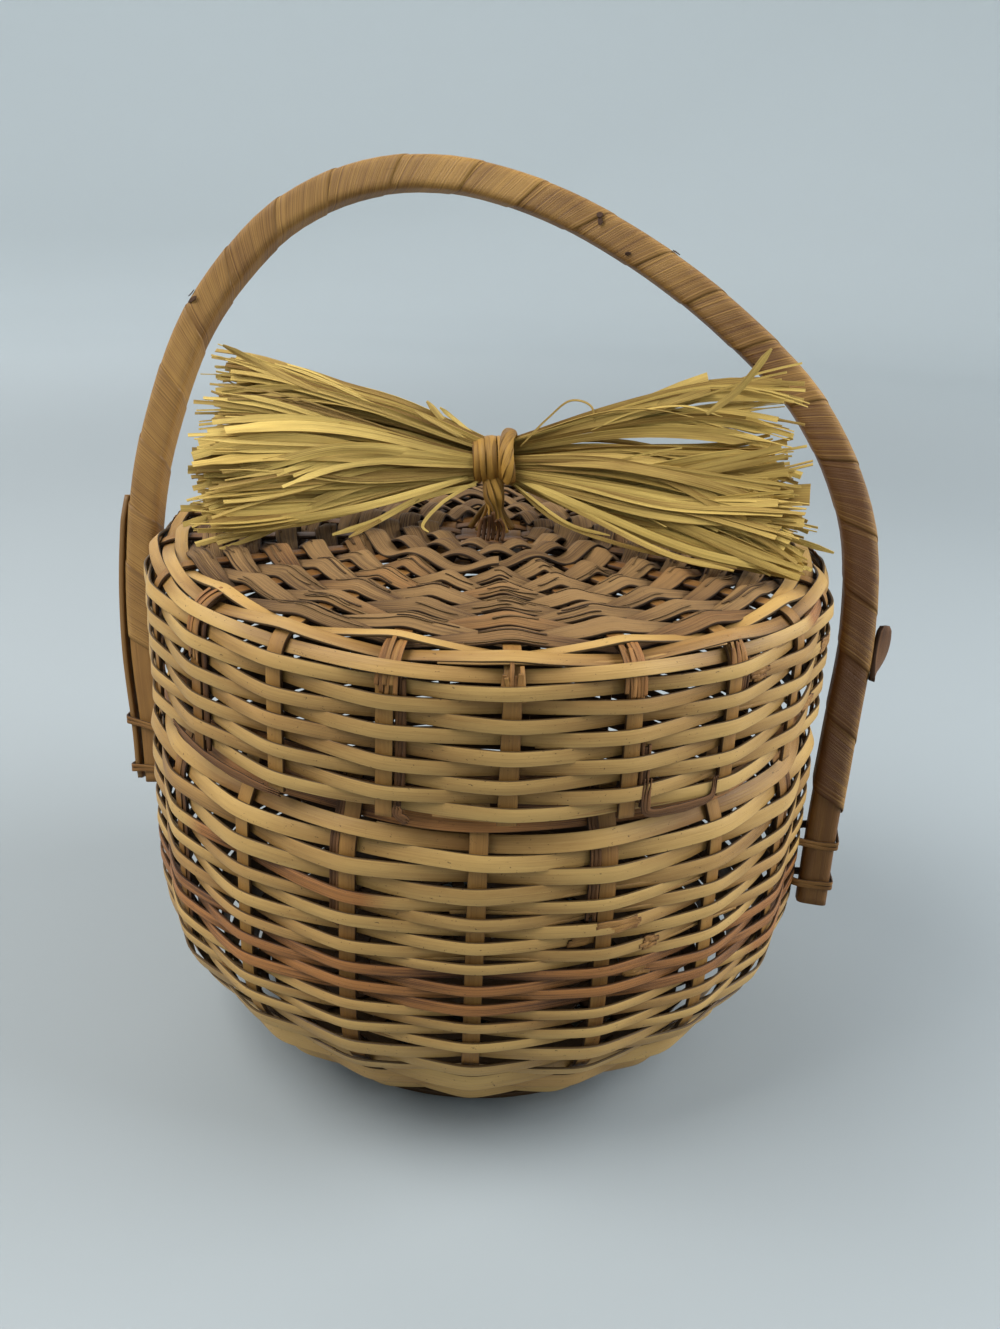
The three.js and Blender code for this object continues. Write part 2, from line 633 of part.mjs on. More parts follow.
console.log(`bow binding: ${BINDING_LOOPS} loops, least gap to itself ${bindingLeast.toFixed(2)} mm`);
addPiece('bow_binding', solidFromRings(bindingRings), RAFFIA_MATERIAL);

// Tie strand: down from the binding, under the lid lattice and up again
const tieSide = LATTICE_PITCH / 2;
const tieTop = KNOT_HEIGHT - WAIST_RADIUS - CROSSING_GAP - BINDING_SIZE - 0.4;
const tieLow = LID_MIDDLE_TOP - STAKE_THICKNESS * 1.5 - CROSSING_GAP * 2 - TIE_SIZE / 2;
const tieRings = [];
const tieTurns = [
  [-tieSide, tieTop, 1, 0], [-tieSide, tieLow, 1, 1], [tieSide, tieLow, -1, 1], [tieSide, tieTop, -1, 0],
];
for (const [across, height, inward, turned] of tieTurns) {
  const corner = (grow, deep) => new THREE.Vector3(
    across - inward * grow * TIE_SIZE * 0.5,
    -tieSide + deep * TIE_SIZE * 0.5,
    height - turned * grow * TIE_SIZE * 0.5,
  );
  tieRings.push([corner(-1, -1), corner(1, -1), corner(1, 1), corner(-1, 1)]);
}
addPiece('bow_tie', solidFromRings(tieRings), RAFFIA_MATERIAL);

export default basket;
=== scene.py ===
"""Looks of the basket bag: woven bamboo splints, a wrapped strap handle and a raffia bow.

Lengths are millimetres in the part's own frame, and become metres when a mesh is written.
"""
import math

import bpy
import numpy as np
from mathutils import Matrix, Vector
from mathutils.geometry import convex_hull_2d


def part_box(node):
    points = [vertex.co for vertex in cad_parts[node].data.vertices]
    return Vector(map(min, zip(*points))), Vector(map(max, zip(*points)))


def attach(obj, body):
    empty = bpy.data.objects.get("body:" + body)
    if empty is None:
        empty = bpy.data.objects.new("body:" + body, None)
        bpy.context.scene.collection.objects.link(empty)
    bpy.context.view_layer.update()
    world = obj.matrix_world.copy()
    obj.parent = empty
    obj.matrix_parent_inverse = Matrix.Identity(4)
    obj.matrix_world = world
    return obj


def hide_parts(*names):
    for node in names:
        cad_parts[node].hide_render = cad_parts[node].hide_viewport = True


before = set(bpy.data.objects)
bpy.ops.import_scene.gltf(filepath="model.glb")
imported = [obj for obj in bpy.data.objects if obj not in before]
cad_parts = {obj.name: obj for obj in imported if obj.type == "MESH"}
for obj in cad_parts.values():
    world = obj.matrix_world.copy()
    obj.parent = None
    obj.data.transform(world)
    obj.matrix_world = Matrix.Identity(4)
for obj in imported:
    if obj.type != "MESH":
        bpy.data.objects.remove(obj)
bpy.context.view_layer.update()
rng = np.random.default_rng(11)
MM = 0.001
FULL_TURN = 2 * math.pi

# Splints, and the strands that a torn one splits into
STAKE_WIDTH = 3.7
STAKE_THICKNESS = 0.8
WEAVER_THICKNESS = 0.56
WEAVE_GAP = 0.3
WEAVER_LAP = 0.8
WEAVER_TUCK = 0.75
WEAVER_STEPS = 16
FIBRE_THICKNESS = 0.14
SPLIT_PITCH = 0.72
SPLIT_THICKNESS = 0.4

# Lattice of stakes in the middle of the base and of the lid
LATTICE_PITCH = 5.2
LATTICE_RISE = 0.55
FAN_START = 5.4
CENTRE_RADIUS = 12.2

# Body and lid, as middle surfaces of the weave: radius, height, rounding
WALL_RADIUS = 80
LID_RIM = 89.4
BODY_CORNERS = [
    (0, 3.6, 0), (52.5, 3.6, 14), (62.51, 11.5, 0), (70.21, 20.3, 0), (75.6, 27.5, 0), (78.6, 33.5, 0),
    (79.8, 42, 0), (WALL_RADIUS, 52, 0), (WALL_RADIUS, 82, 8), (76, 89.1, 8), (76, 100, 0),
]
LID_CORNERS = [(0, 124, 0), (WALL_RADIUS, 123.2, 6), (WALL_RADIUS, LID_RIM, 0)]

# Weavers: share of the wall that each covers, and the stakes that it crosses
BODY_SHARES = [4.4] * 5 + [3.6] * 2 + [4.5] * 2 + [4.2]
BODY_CROSSINGS = [58, 58, 52, 52, 62, 82, 86, 88, 70, 58]
LID_SHARES = [4.7, 4.5, 4.1] + [3.1] * 4
LID_CROSSINGS = [64] * 7
# Body weavers on the base, round its turn and up the wall: share of the pitch filled, swing and lean
BODY_FILLS = [1.1] * 2 + [1.06] * 2 + [0.94] * 6
BODY_SWINGS = [1.0] * 2 + [1.25] * 7 + [1.0]
BODY_LEANS = [0.03] * 2 + [0.4] * 2 + [0.05] * 6
BROWN_WEAVER = 6
LID_TOP_WEAVERS = 3
FIBRES_ON_TOP_WEAVER = 90
# Stretches where a weaver shows its brown inner side: first and last crossing
PITH_STRETCHES = {
    "body": [(344.5, 424.5), (529.2, 531.4), (469.2, 470.6), (578, 579.1), (618, 667)],
    "lid": [(255, 256.4)],
}
# Stakes that the two ends of each crossing splint become
BODY_ENDS_X = [(-3, 3), (-4, 4), (-5, 5), (-6, 6), (-7, 7)]
BODY_ENDS_Y = [(-2, -8), (-1, -9), (1, 9), (2, 8)]
LID_ENDS_X = [(-3, 3), (-4, 4), (-6, 5), (-7, 6), (-8, 7)]
LID_ENDS_Y = [(-2, -9), (-1, -10), (0, 10), (1, 9), (2, 8)]

# Hoop under the base
HOOP_RADIUS = 51.6
HOOP_HEIGHT = 0.6
HOOP_WIDTH = 3.6
HOOP_THICKNESS = 1.2

# Handle: its middle line as shares of half the span and of the rise, its strap and its wrap
FOOT_HEIGHT = 48
LEFT_FOOT_STAKE = -5
RIGHT_FOOT_STAKE = 4
HANDLE_LEAN = math.radians(14)
HANDLE_HALF_SPAN = 85.8
HANDLE_RISE = 160.4
HANDLE_LINE = [
    (-1, 0.012), (-1.021, 0.094), (-1.068, 0.237), (-1.086, 0.374), (-1.076, 0.511), (-1.031, 0.63),
    (-0.962, 0.742), (-0.862, 0.832), (-0.699, 0.926), (-0.478, 0.985), (-0.233, 1), (0.047, 0.97),
    (0.326, 0.904), (0.606, 0.807), (0.846, 0.689), (1, 0.536), (1.04, 0.387), (1.026, 0.218),
    (1.009, 0.062), (1.002, -0.056),
]
CORE_HALF_THICKNESS = 3.6
CORE_HALF_DEPTH = 3.4
CORNER_POWER = 0.42
STRAP_END_OUT = 4.95
STRAP_END_WIDTH = 7
STRAP_END_THICKNESS = 1.3
WRAP_TURNS = 22
WRAP_START = 25
WRAP_END = 25
WRAP_STEPS = 40
LOOP_INNER = -4.1
LOOP_HALF_DEPTH = 3.9
LOOP_STRAND_PITCH = 1.05

# Bow
KNOT_HEIGHT = 142
WAIST_RADIUS = 4.6
BINDING_TURNS = 3.4
RIBBON_RINGS = 18
RIBBON_THICKNESS = 0.14
STRAY_THICKNESS = 0.22
LOCK_STRANDS = 5
SHORT_SHARE = 0.18
BROAD_WIDTH = (2.4, 5.6)
# Strands of a fan: number and width of the ribbons that one splits into, and how far they sway, part and bend
HAIR = {"ribbons": (3, 6), "width": (0.25, 0.55), "sway": 1.8, "parting": 2.0, "bend": 1.8}
STRAND = {"ribbons": (1, 5), "width": (0.7, 1.9), "sway": 1.0, "parting": 0.3, "bend": 1.1}

# Stage in metres: floor that sweeps up all round, as radius and height, and its colours near and far, darker
# near the basket as painted shade
FLOOR_OUTLINE = [
    (0.01, 0.0), (0.7, 0.0), (1.2, 0.0), (1.32, 0.01), (1.44, 0.05), (1.55, 0.13), (1.63, 0.25),
    (1.68, 0.4), (1.7, 0.6), (1.7, 2.2),
]
FLOOR_SIDES = 96
FLOOR_NEAR = (150, 157, 160)
FLOOR_FAR = (209, 217, 220)
FLOOR_FADE = (0.55, 1.5)
WORLD_COLOUR = (0.86, 0.92, 0.97, 1)
WORLD_STRENGTH = 0.16
# Lamps: name, place, height aimed at, size, power and colour
LAMPS = [
    ("key", (-0.72, -0.2, 0.95), 0.1, 0.85, 17.5, (1.0, 0.99, 0.97)),
    ("fill", (0.8, -0.6, 0.6), 0.08, 0.9, 0.5, (0.95, 0.98, 1.0)),
    ("back", (-0.45, 1.0, 0.75), 0.08, 0.8, 3.0, (0.97, 0.98, 1.0)),
    ("window", (0.85, -0.05, 0.65), 0.08, 0.7, 13.0, (0.96, 0.98, 1.0)),
]
CAMERA_PLACE = (0.0, -0.2906, 0.2082)
CAMERA_PITCH = math.radians(22.10)
CAMERA_ROLL = math.radians(2.55)
CAMERA_YAW = math.radians(0.69)
SENSOR_SIZE = 36
FOCAL_SHARE = 1250 / 1329


# Helpers on rows of points
def unit(rows):
    return rows / np.maximum(np.linalg.norm(rows, axis=-1, keepdims=True), 1e-9)


def lengths_of(points):
    steps = np.linalg.norm(np.diff(points, axis=0), axis=1)
    return np.concatenate([[0], np.cumsum(steps)])


def columns(*values):
    return np.stack(np.broadcast_arrays(*values), axis=-1)


def directions(points):
    return unit(np.gradient(points, axis=0))


def interp_rows(at, along, rows):
    return columns(*(np.interp(at, along, column) for column in rows.T))


def resample(points, step):
    points = np.asarray(points, float)
    along = lengths_of(points)
    count = max(2, int(round(along[-1] / step)) + 1)
    return interp_rows(np.linspace(0, along[-1], count), along, points)


def smooth(points, reach):
    """Moving average, taken twice, that keeps the ends in place."""
    points = np.array(points, float)
    kernel = np.ones(2 * reach + 1) / (2 * reach + 1)
    for _ in range(2):
        before = 2 * points[0] - points[reach:0:-1]
        after = 2 * points[-1] - points[-2:-reach - 2:-1]
        padded = np.concatenate([before, points, after])
        points = columns(*(np.convolve(column, kernel, "valid") for column in padded.T))
    return points


def between(one, two, start, end, t):
    return one * (end - t) / (end - start) + two * (t - start) / (end - start)


def curve_through(controls, count):
    """Smooth curve through control points, with steps of equal length."""
    controls = np.asarray(controls, float)
    first = 2 * controls[0] - controls[1]
    last = 2 * controls[-1] - controls[-2]
    points = np.concatenate([[first], controls, [last]])
    steps = np.sqrt(np.linalg.norm(np.diff(points, axis=0), axis=1))
    knots = np.concatenate([[0], np.cumsum(steps)])
    found = []
    for k in range(1, len(points) - 2):
        t = np.linspace(knots[k], knots[k + 1], 40, endpoint=k == len(points) - 3)[:, None]
        line = [between(points[j - 1], points[j], knots[j - 1], knots[j], t) for j in range(k, k + 3)]
        bend = [between(line[j], line[j + 1], knots[k - 1 + j], knots[k + 1 + j], t) for j in range(2)]
        found.append(between(bend[0], bend[1], knots[k], knots[k + 1], t))
    found = np.concatenate(found)
    return resample(found, lengths_of(found)[-1] / (count - 1))


def waves(values, seed, scale):
    """Slow repeatable wandering between about -1 and 1."""
    draw = np.random.default_rng(seed)
    values = np.asarray(values, float)
    total = np.zeros_like(values)
    for octave in (1, 2.3, 4.1):
        total = total + np.sin(values * octave / scale + draw.uniform(0, FULL_TURN)) / octave
    return total / 1.5


# Meshes
def add_object(name, data):
    made = bpy.data.objects.new(name, data)
    bpy.context.scene.collection.objects.link(made)
    return made


# Sections of a strip: shares of its half width and half thickness, and 1 on the inner face
SPLINT = (
    np.array([-1, -0.99, -0.95, 0, 0.95, 0.99, 1, 0.99, 0.95, 0, -0.95, -0.99]),
    np.array([0, 0.9, 1, 1, 1, 0.9, 0, -0.9, -1, -1, -1, -0.9]),
    np.array([0.5, 0, 0, 0, 0, 0, 0.5, 1, 1, 1, 1, 1]),
)
RIBBON = (np.array([-1, 0, 1, 1, 0, -1]), np.array([1, 1, 1, -1, -1, -1]), np.zeros(6))


class Piece:
    """Collects strips, then becomes one Blender object."""

    def __init__(self, name):
        self.name = name
        self.points = []
        self.faces = []
        self.strip = []
        self.tone = []
        self.pith = []
        self.count = 0

    def add_rings(self, rings, strip, tone, closed=False, pith=0.0):
        """A skin over rings of points, each with its place on the strip."""
        steps, sides = rings.shape[:2]
        self.points.append(rings.reshape(-1, 3))
        self.strip.append(strip.reshape(-1, 3))
        self.tone.append(np.repeat(np.broadcast_to(tone, steps), sides))
        self.pith.append(np.repeat(np.broadcast_to(pith, steps), sides))
        rows = np.arange(steps if closed else steps - 1)[:, None]
        here = self.count + rows * sides
        then = self.count + ((rows + 1) % steps) * sides
        side = np.arange(sides)
        other = (side + 1) % sides
        quads = np.stack([here + side, here + other, then + other, then + side], axis=-1)
        self.faces.extend(quads.reshape(-1, 4).tolist())
        if not closed:
            self.faces.append([self.count + k for k in reversed(range(sides))])
            self.faces.append([self.count + (steps - 1) * sides + k for k in range(sides)])
        self.count += steps * sides

    def add_strip(self, centre, normal, width, thickness, tone, arch=0.0, start=0.0, closed=False,
                  fold=0.0, pith=0.0, section=SPLINT):
        """A flat strip along centre, with its outer face towards normal."""
        count = len(centre)
        flat, rise, face = section
        tangent = np.gradient(centre, axis=0)
        if closed:
            tangent = np.roll(centre, -1, axis=0) - np.roll(centre, 1, axis=0)
        tangent = unit(tangent)
        across = unit(np.cross(normal, tangent))
        normal = unit(np.cross(tangent, across))
        aside = flat * np.broadcast_to(width, count)[:, None] / 2
        fold = np.broadcast_to(fold, count)[:, None]
        rise = rise * thickness / 2 + arch * (0.5 - flat ** 2) - fold * np.abs(flat)
        rings = centre[:, None] + aside[..., None] * across[:, None] + rise[..., None] * normal[:, None]
        along = start + lengths_of(centre)
        strip = columns(along[:, None], flat, face)
        self.add_rings(rings, strip, tone, closed, pith)

    def make(self, material, body, slot, *nodes, rounded=True):
        mesh = bpy.data.meshes.new(self.name)
        points = np.concatenate(self.points) * MM
        mesh.from_pydata(points.tolist(), [], self.faces)
        strip = mesh.attributes.new("strip", "FLOAT_VECTOR", "POINT")
        strip.data.foreach_set("vector", np.concatenate(self.strip).astype(np.float32).ravel())
        for name, values in (("tone", self.tone), ("pith", self.pith)):
            attribute = mesh.attributes.new(name, "FLOAT", "POINT")
            attribute.data.foreach_set("value", np.concatenate(values).astype(np.float32))
        mesh.polygons.foreach_set("use_smooth", np.full(len(mesh.polygons), rounded))
        mesh.validate()
        mesh.update()
        mesh.materials.append(material)
        made = add_object(self.name, mesh)
        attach(made, body)
        if nodes:
            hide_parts(*nodes)


# Materials: fibres along each strip, patches, specks, darker edges that are partly cut edges and partly
# painted shade between rows, and inner faces painted dark as shade
class Graph:
    """Short names for shader nodes."""

    def __init__(self, name):
        self.material = bpy.data.materials.new(name)
        self.material.use_nodes = True
        self.nodes = self.material.node_tree.nodes
        self.links = self.material.node_tree.links
        self.shader = self.nodes["Principled BSDF"]

    def put(self, socket, value):
        if isinstance(value, bpy.types.NodeSocket):
            self.links.new(value, socket)
        else:
            socket.default_value = value

    def node(self, kind, output, inputs, **settings):
        """A node with its settings and inputs, each a value or another node's socket."""
        node = self.nodes.new(f"ShaderNode{kind}")
        for name, value in settings.items():
            setattr(node, name, value)
        for key, value in inputs.items():
            self.put(node.inputs[key], value)
        return node.outputs[output]

    def attribute(self, name, output):
        return self.node("Attribute", output, {}, attribute_name=name)

    def math(self, operation, one, two=0.0, clamp=False):
        return self.node("Math", 0, {0: one, 1: two}, operation=operation, use_clamp=clamp)

    def times(self, one, two):
        return self.math("MULTIPLY", one, two)

    def split(self, vector):
        node = self.nodes.new("ShaderNodeSeparateXYZ")
        self.put(node.inputs[0], vector)
        return node.outputs[0], node.outputs[1], node.outputs[2]

    def join(self, x, y, z):
        return self.node("CombineXYZ", 0, {0: x, 1: y, 2: z})

    def noise(self, vector, scale, detail, rough):
        inputs = {"Vector": vector, "Scale": scale, "Detail": detail, "Roughness": rough}
        return self.node("TexNoise", 0, inputs)

    def span(self, value, low, high, to_low=0.0, to_high=1.0):
        inputs = {0: value, 1: low, 2: high, 3: to_low, 4: to_high}
        return self.node("MapRange", 0, inputs, interpolation_type="SMOOTHSTEP")

    def mix(self, share, one, two):
        return self.node("Mix", 2, {"Factor": share, 6: one, 7: two}, data_type="RGBA")

    def bump(self, height, strength, distance):
        return self.node("Bump", 0, {"Strength": strength, "Distance": distance, "Height": height})


def srgb(colour):
    """Linear colour from screen values of 0 to 255."""
    values = np.array(colour) / 255
    linear = np.where(values <= 0.04045, values / 12.92, ((values + 0.055) / 1.055) ** 2.4)
    return (*linear.tolist(), 1.0)


PITH_LIGHT = srgb((160, 106, 54))
PITH_DARK = srgb((62, 33, 14))


def splint_material(name, light, dark, dark_edge_speck_and_shade, fibres, streak, specks, rough,
                    edge_and_shade_share=0.85, relief=0.35, grain=0.02):
    g = Graph(name)
    along, across, face = g.split(g.attribute("strip", "Vector"))
    tone = g.attribute("tone", "Fac")
    pith = g.attribute("pith", "Fac")

    def pattern(along_scale, across_scale, layer, scale, detail, roughness):
        place = g.join(g.times(along, along_scale), g.times(across, across_scale), layer)
        return g.noise(place, scale, detail, roughness)

    def varied(noise, strength):
        return g.times(g.math("SUBTRACT", noise, 0.5), strength)

    fibre = pattern(grain, fibres, 0.0, 1.6, 5.0, 0.65)
    thread = pattern(0.02, 8.0, 3.0, 1.5, 4.0, 0.7)
    patch = pattern(0.045, 0.5, 6.0, 1.0, 3.0, 0.55)
    speck = pattern(0.7, 1.6, 9.0, 1.5, 2.0, 0.7)
    level = g.math("ADD", tone, varied(patch, 1.1))
    outer = g.math("ADD", level, varied(fibre, streak), True)
    inner = g.math("ADD", level, varied(thread, 3.6), True)
    colour = g.mix(outer, srgb(dark), srgb(light))
    colour = g.mix(pith, colour, g.mix(inner, PITH_DARK, PITH_LIGHT))
    colour = g.mix(g.span(speck, 0.66, 0.74, 0.0, specks), colour, srgb(dark_edge_speck_and_shade))
    # Strip edges and inner faces go towards the dark colour: the edges are partly the splint's own darker cut
    # edge and partly painted shade in the gaps between rows, and the inner faces are painted dark as shade
    # inside the weave
    edge_and_inner_shade = g.span(g.math("ABSOLUTE", across), 0.92, 1.0, 0.0, edge_and_shade_share)
    edge_and_inner_shade = g.math("MAXIMUM", edge_and_inner_shade, g.times(face, 0.9))
    g.put(g.shader.inputs["Base Color"], g.mix(edge_and_inner_shade, colour, srgb(dark_edge_speck_and_shade)))
    g.put(g.shader.inputs["Roughness"], g.span(fibre, 0.3, 0.7, rough - 0.08, rough + 0.12))
    height = g.math("ADD", fibre, g.times(g.times(thread, pith), 1.5))
    g.put(g.shader.inputs["Normal"], g.bump(height, relief, 0.0004))
    g.shader.inputs["Specular IOR Level"].default_value = 0.3
    return g.material


SKIN = splint_material(
    "bamboo_skin", light=(187, 150, 88), dark=(128, 90, 43), dark_edge_speck_and_shade=(36, 20, 8),
    fibres=4, streak=0.9, specks=0.7, rough=0.5)
STAKE = splint_material(
    "bamboo_stake", light=(166, 123, 64), dark=(112, 73, 31), dark_edge_speck_and_shade=(40, 22, 9),
    fibres=5, streak=1.0, specks=0.5, rough=0.55)
TOP = splint_material(
    "bamboo_lid_top", light=(142, 109, 67), dark=(70, 46, 24), dark_edge_speck_and_shade=(30, 17, 8),
    fibres=6, streak=3.0, specks=0.3, rough=0.75, edge_and_shade_share=0.9, relief=0.9)
BROWN = splint_material(
    "bamboo_brown", light=(120, 80, 43), dark=(58, 34, 16), dark_edge_speck_and_shade=(34, 19, 8),
    fibres=6, streak=2.4, specks=0.2, rough=0.65)
CANE = splint_material(
    "cane_strap", light=(150, 110, 56), dark=(100, 66, 29), dark_edge_speck_and_shade=(112, 80, 40),
    fibres=9, streak=1.4, specks=0.35, rough=0.55)
LEAF = splint_material(
    "leaf_wrap", light=(178, 136, 72), dark=(92, 57, 23), dark_edge_speck_and_shade=(54, 33, 12),
    fibres=14, streak=2.3, specks=0.2, rough=0.5, edge_and_shade_share=0.2, relief=0.9, grain=0.0006)
RAFFIA = splint_material(
    "raffia", light=(222, 190, 104), dark=(118, 86, 31), dark_edge_speck_and_shade=(120, 90, 36),
    fibres=9, streak=2.2, specks=0.1, rough=0.6, edge_and_shade_share=0.2, relief=0.5, grain=0.01)
KNOT = splint_material(
    "raffia_knot", light=(188, 142, 64), dark=(94, 62, 22), dark_edge_speck_and_shade=(60, 39, 14),
    fibres=4, streak=1.6, specks=0.1, rough=0.5, edge_and_shade_share=0.3, relief=0.6, grain=0.01)


# Woven shells
def make_profile(corners):
    """Points from the middle to the rim, with the corners rounded."""
    points = []
    for index, (radius, height, rounding) in enumerate(corners):
        corner = np.array([radius, height], float)
        if rounding == 0:
            points.append(corner)
            continue
        before = unit(np.array(corners[index - 1][:2], float) - corner)
        after = unit(np.array(corners[index + 1][:2], float) - corner)
        half = math.acos(float(before @ after)) / 2
        centre = corner + unit(before + after) * rounding / math.sin(half)
        start = corner + before * rounding / math.tan(half) - centre
        end = corner + after * rounding / math.tan(half) - centre
        turn = math.atan2(start[0] * end[1] - start[1] * end[0], start @ end)
        aside = np.array([-start[1], start[0]])
        for part in np.linspace(0, turn, 9):
            points.append(centre + (start * math.cos(part) + aside * math.sin(part)))
    return smooth(resample(points, 0.25), 6)


class Shell:
    """A woven surface of revolution, with its stakes and its rows."""

    def __init__(self, name, body, corners, shares, crossings, stakes, first_angle, fan_radius, first_row,
                 last_width):
        self.name = name
        self.body = body
        self.points = make_profile(corners)
        self.tangent = directions(self.points)
        self.along = lengths_of(self.points)
        self.total = self.along[-1]
        self.side = 1 if corners[-1][1] > corners[0][1] else -1
        self.stakes = stakes
        self.first_angle = math.radians(first_angle)
        self.fan_radius = fan_radius
        spread = (self.total - 1 - first_row - last_width / 2) / sum(shares)
        self.row_ends = first_row + spread * np.cumsum([0] + shares)
        self.row_crossings = np.cumsum([0] + crossings)
        self.pitches = np.diff(self.row_ends) * stakes / crossings

    def angle(self, crossing):
        return self.first_angle + np.asarray(crossing) * FULL_TURN / self.stakes

    def row_length(self, crossing):
        return np.interp(crossing, self.row_crossings, self.row_ends)

    def pitch_at(self, crossing):
        return self.pitches[int(np.searchsorted(self.row_crossings, crossing)) - 1]

    def length_at(self, height):
        wall = np.flatnonzero(self.points[:, 0] > WALL_RADIUS - 20)[::self.side]
        return np.interp(height, self.points[wall, 1], self.along[wall])

    def at(self, length, angle, lift=0.0):
        """Points, directions up the shell and outward normals at lengths and angles."""
        radius, height = interp_rows(length, self.along, self.points).T
        outwards, upwards = interp_rows(length, self.along, self.tangent).T
        cos, sin = np.cos(angle), np.sin(angle)
        up = columns(outwards * cos, outwards * sin, upwards)
        out = columns(upwards * cos, upwards * sin, -outwards) * self.side
        place = columns(radius * cos, radius * sin, height)
        return place + out * np.reshape(lift, (-1, 1)), up, out

    def swing(self, crossing, length, more=1.0, peak=0.1):
        """How far a weaver lies in or out, inside even stakes and outside odd ones."""
        radius = np.interp(length, self.along, self.points[:, 0])
        spacing = 2 * radius * math.sin(math.pi / self.stakes)
        clear = STAKE_THICKNESS / 2 + WEAVER_THICKNESS / 2 + WEAVE_GAP
        reach = more * clear / (1 - STAKE_WIDTH / spacing)
        turn = np.pi * crossing
        wave = np.cos(turn) + peak * np.cos(3 * turn) + 0.3 * peak * np.cos(5 * turn)
        return -reach * wave / (1 + 1.3 * peak)

    def wander(self, length, angle):
        """Rows rise and fall a little, neighbours together."""
        slow = 0.45 * np.sin(2 * angle + length / 21) + 0.32 * np.sin(3 * angle - length / 13 + 1.3)
        return slow + 0.2 * np.sin(7 * angle + length / 3.1) + 0.12 * np.sin(11 * angle - length / 2.3)

    def on_row(self, crossing, drift, lift):
        """Places beside a weaver's middle line, drifted along the shell and lifted off the weaver."""
        angle = self.angle(crossing)
        length = self.row_length(crossing)
        lift = self.swing(crossing, length) + lift
        return self.at(length + self.wander(length, angle) + drift, angle, lift)

    def path(self, steps, count, lift):
        """Line through steps of stake, millimetres aside and height."""
        stake, aside, height = (np.array(column, float) for column in zip(*steps))
        angle = self.angle(stake) + aside / WALL_RADIUS
        flat = curve_through(columns(angle * WALL_RADIUS, height, 0), count)
        return self.at(self.length_at(flat[:, 1]), flat[:, 0] / WALL_RADIUS, lift)


BODY = Shell("body", "basket", BODY_CORNERS, BODY_SHARES, BODY_CROSSINGS, stakes=19, first_angle=270,
             fan_radius=25, first_row=27.5, last_width=3.2)
LID = Shell("lid", "lid", LID_CORNERS, LID_SHARES, LID_CROSSINGS, stakes=21, first_angle=273.7,
            fan_radius=29, first_row=30.5, last_width=2.35)


# Weavers
def pith_share(shell, crossing):
    share = np.zeros_like(crossing)
    for first, last in PITH_STRETCHES[shell.name]:
        inside = np.minimum(crossing - first, last - crossing)
        share = np.maximum(share, np.clip(inside / 0.25, 0, 1))
    return share


def add_fibres(piece, crossing, centre, normal, width, arch, seed):
    """Fibres split off the face of a strip, each over a stake that the strip passes outside."""
    draw = np.random.default_rng(seed)
    normal = unit(normal)
    across = unit(np.cross(normal, directions(centre)))
    middles = np.flatnonzero(np.cos(math.pi * crossing) < -0.6)
    for fibre in range(FIBRES_ON_TOP_WEAVER):
        half = draw.integers(3, 8)
        middle = np.clip(draw.choice(middles), half, len(centre) - half - 1)
        picked = np.arange(middle - half, middle + half + 1)
        part = np.linspace(-1, 1, len(picked))
        aside = draw.uniform(-0.85, 0.85) + 0.12 * draw.normal() * part
        rise = WEAVER_THICKNESS / 2 + arch * (0.5 - aside ** 2) + draw.uniform(0.0, 0.35) * part ** 2 + 0.04
        place = centre[picked] + across[picked] * (aside * width[picked] / 2)[:, None]
        place = place + normal[picked] * rise[:, None]
        fibre_width = draw.uniform(0.2, 0.5)
        tone = draw.uniform(0.1, 1.1)
        piece.add_strip(place, normal[picked], fibre_width, FIBRE_THICKNESS, tone, 0.0, 40.0 * fibre)


def add_weaver(shell, index, material, slot, fill, more, lean, arch=0.03, peak=0.1, lens=0.0):
    """One long splint woven in and out, its first end tucked inside the one before."""
    name = f"{shell.name}_weaver_{index + 1}"
    first, last = shell.row_crossings[index:index + 2]
    lap = WEAVER_LAP if index else 0
    crossing = np.arange(first - lap, last + 0.1, 1 / WEAVER_STEPS)
    outside = -np.cos(math.pi * crossing)

    def varied(seed, scale):
        return waves(crossing, seed + index, scale)

    angle = shell.angle(crossing)
    length = shell.row_length(crossing)
    length = length + shell.wander(length, angle) + 0.12 * varied(40, 1.3)
    lift = shell.swing(crossing, length, more, peak)
    if index:
        lift = lift - np.clip((first + 0.35 - crossing) / 0.5, 0, 1) * WEAVER_TUCK
    place, up, out = shell.at(length, angle, lift)
    width = shell.pitches[index] * fill * (1 + 0.05 * varied(60, 4.0) + 0.05 * varied(70, 19.0))
    width = width * (1 - lens * (0.5 - 0.5 * outside))
    facing = out + (lean + 0.06 * varied(80, 1.1)[:, None]) * up
    # Tone: random drift, plus painted light and shade: lighter where the weaver passes outside a stake,
    # darker where it dips inside
    tone = 0.52 + 0.24 * varied(20, 9.0) + 0.13 * varied(90, 1.7) + 0.28 * outside
    stain = np.clip(0.5 * varied(110, 2.3) - 0.12, 0, 0.35)
    pith = np.maximum(pith_share(shell, crossing), stain)
    piece = Piece(f"{name}_splint")
    piece.add_strip(place, facing, width, WEAVER_THICKNESS, tone, arch, 1500.0 * index, pith=pith)
    if material is TOP:
        add_fibres(piece, crossing, place, facing, width, arch, 130 + index)
    piece.make(material, shell.body, slot, name)


# Stakes
def stake_out(shell, stake, start):
    """Half of a crossing splint, from the lattice out to the rim."""
    length = np.concatenate([[start], np.arange(start + 2, shell.total, 1.0), [shell.total]])
    angle = np.full(len(length), shell.angle(stake))
    place, _, out = shell.at(length, angle)
    return place, out


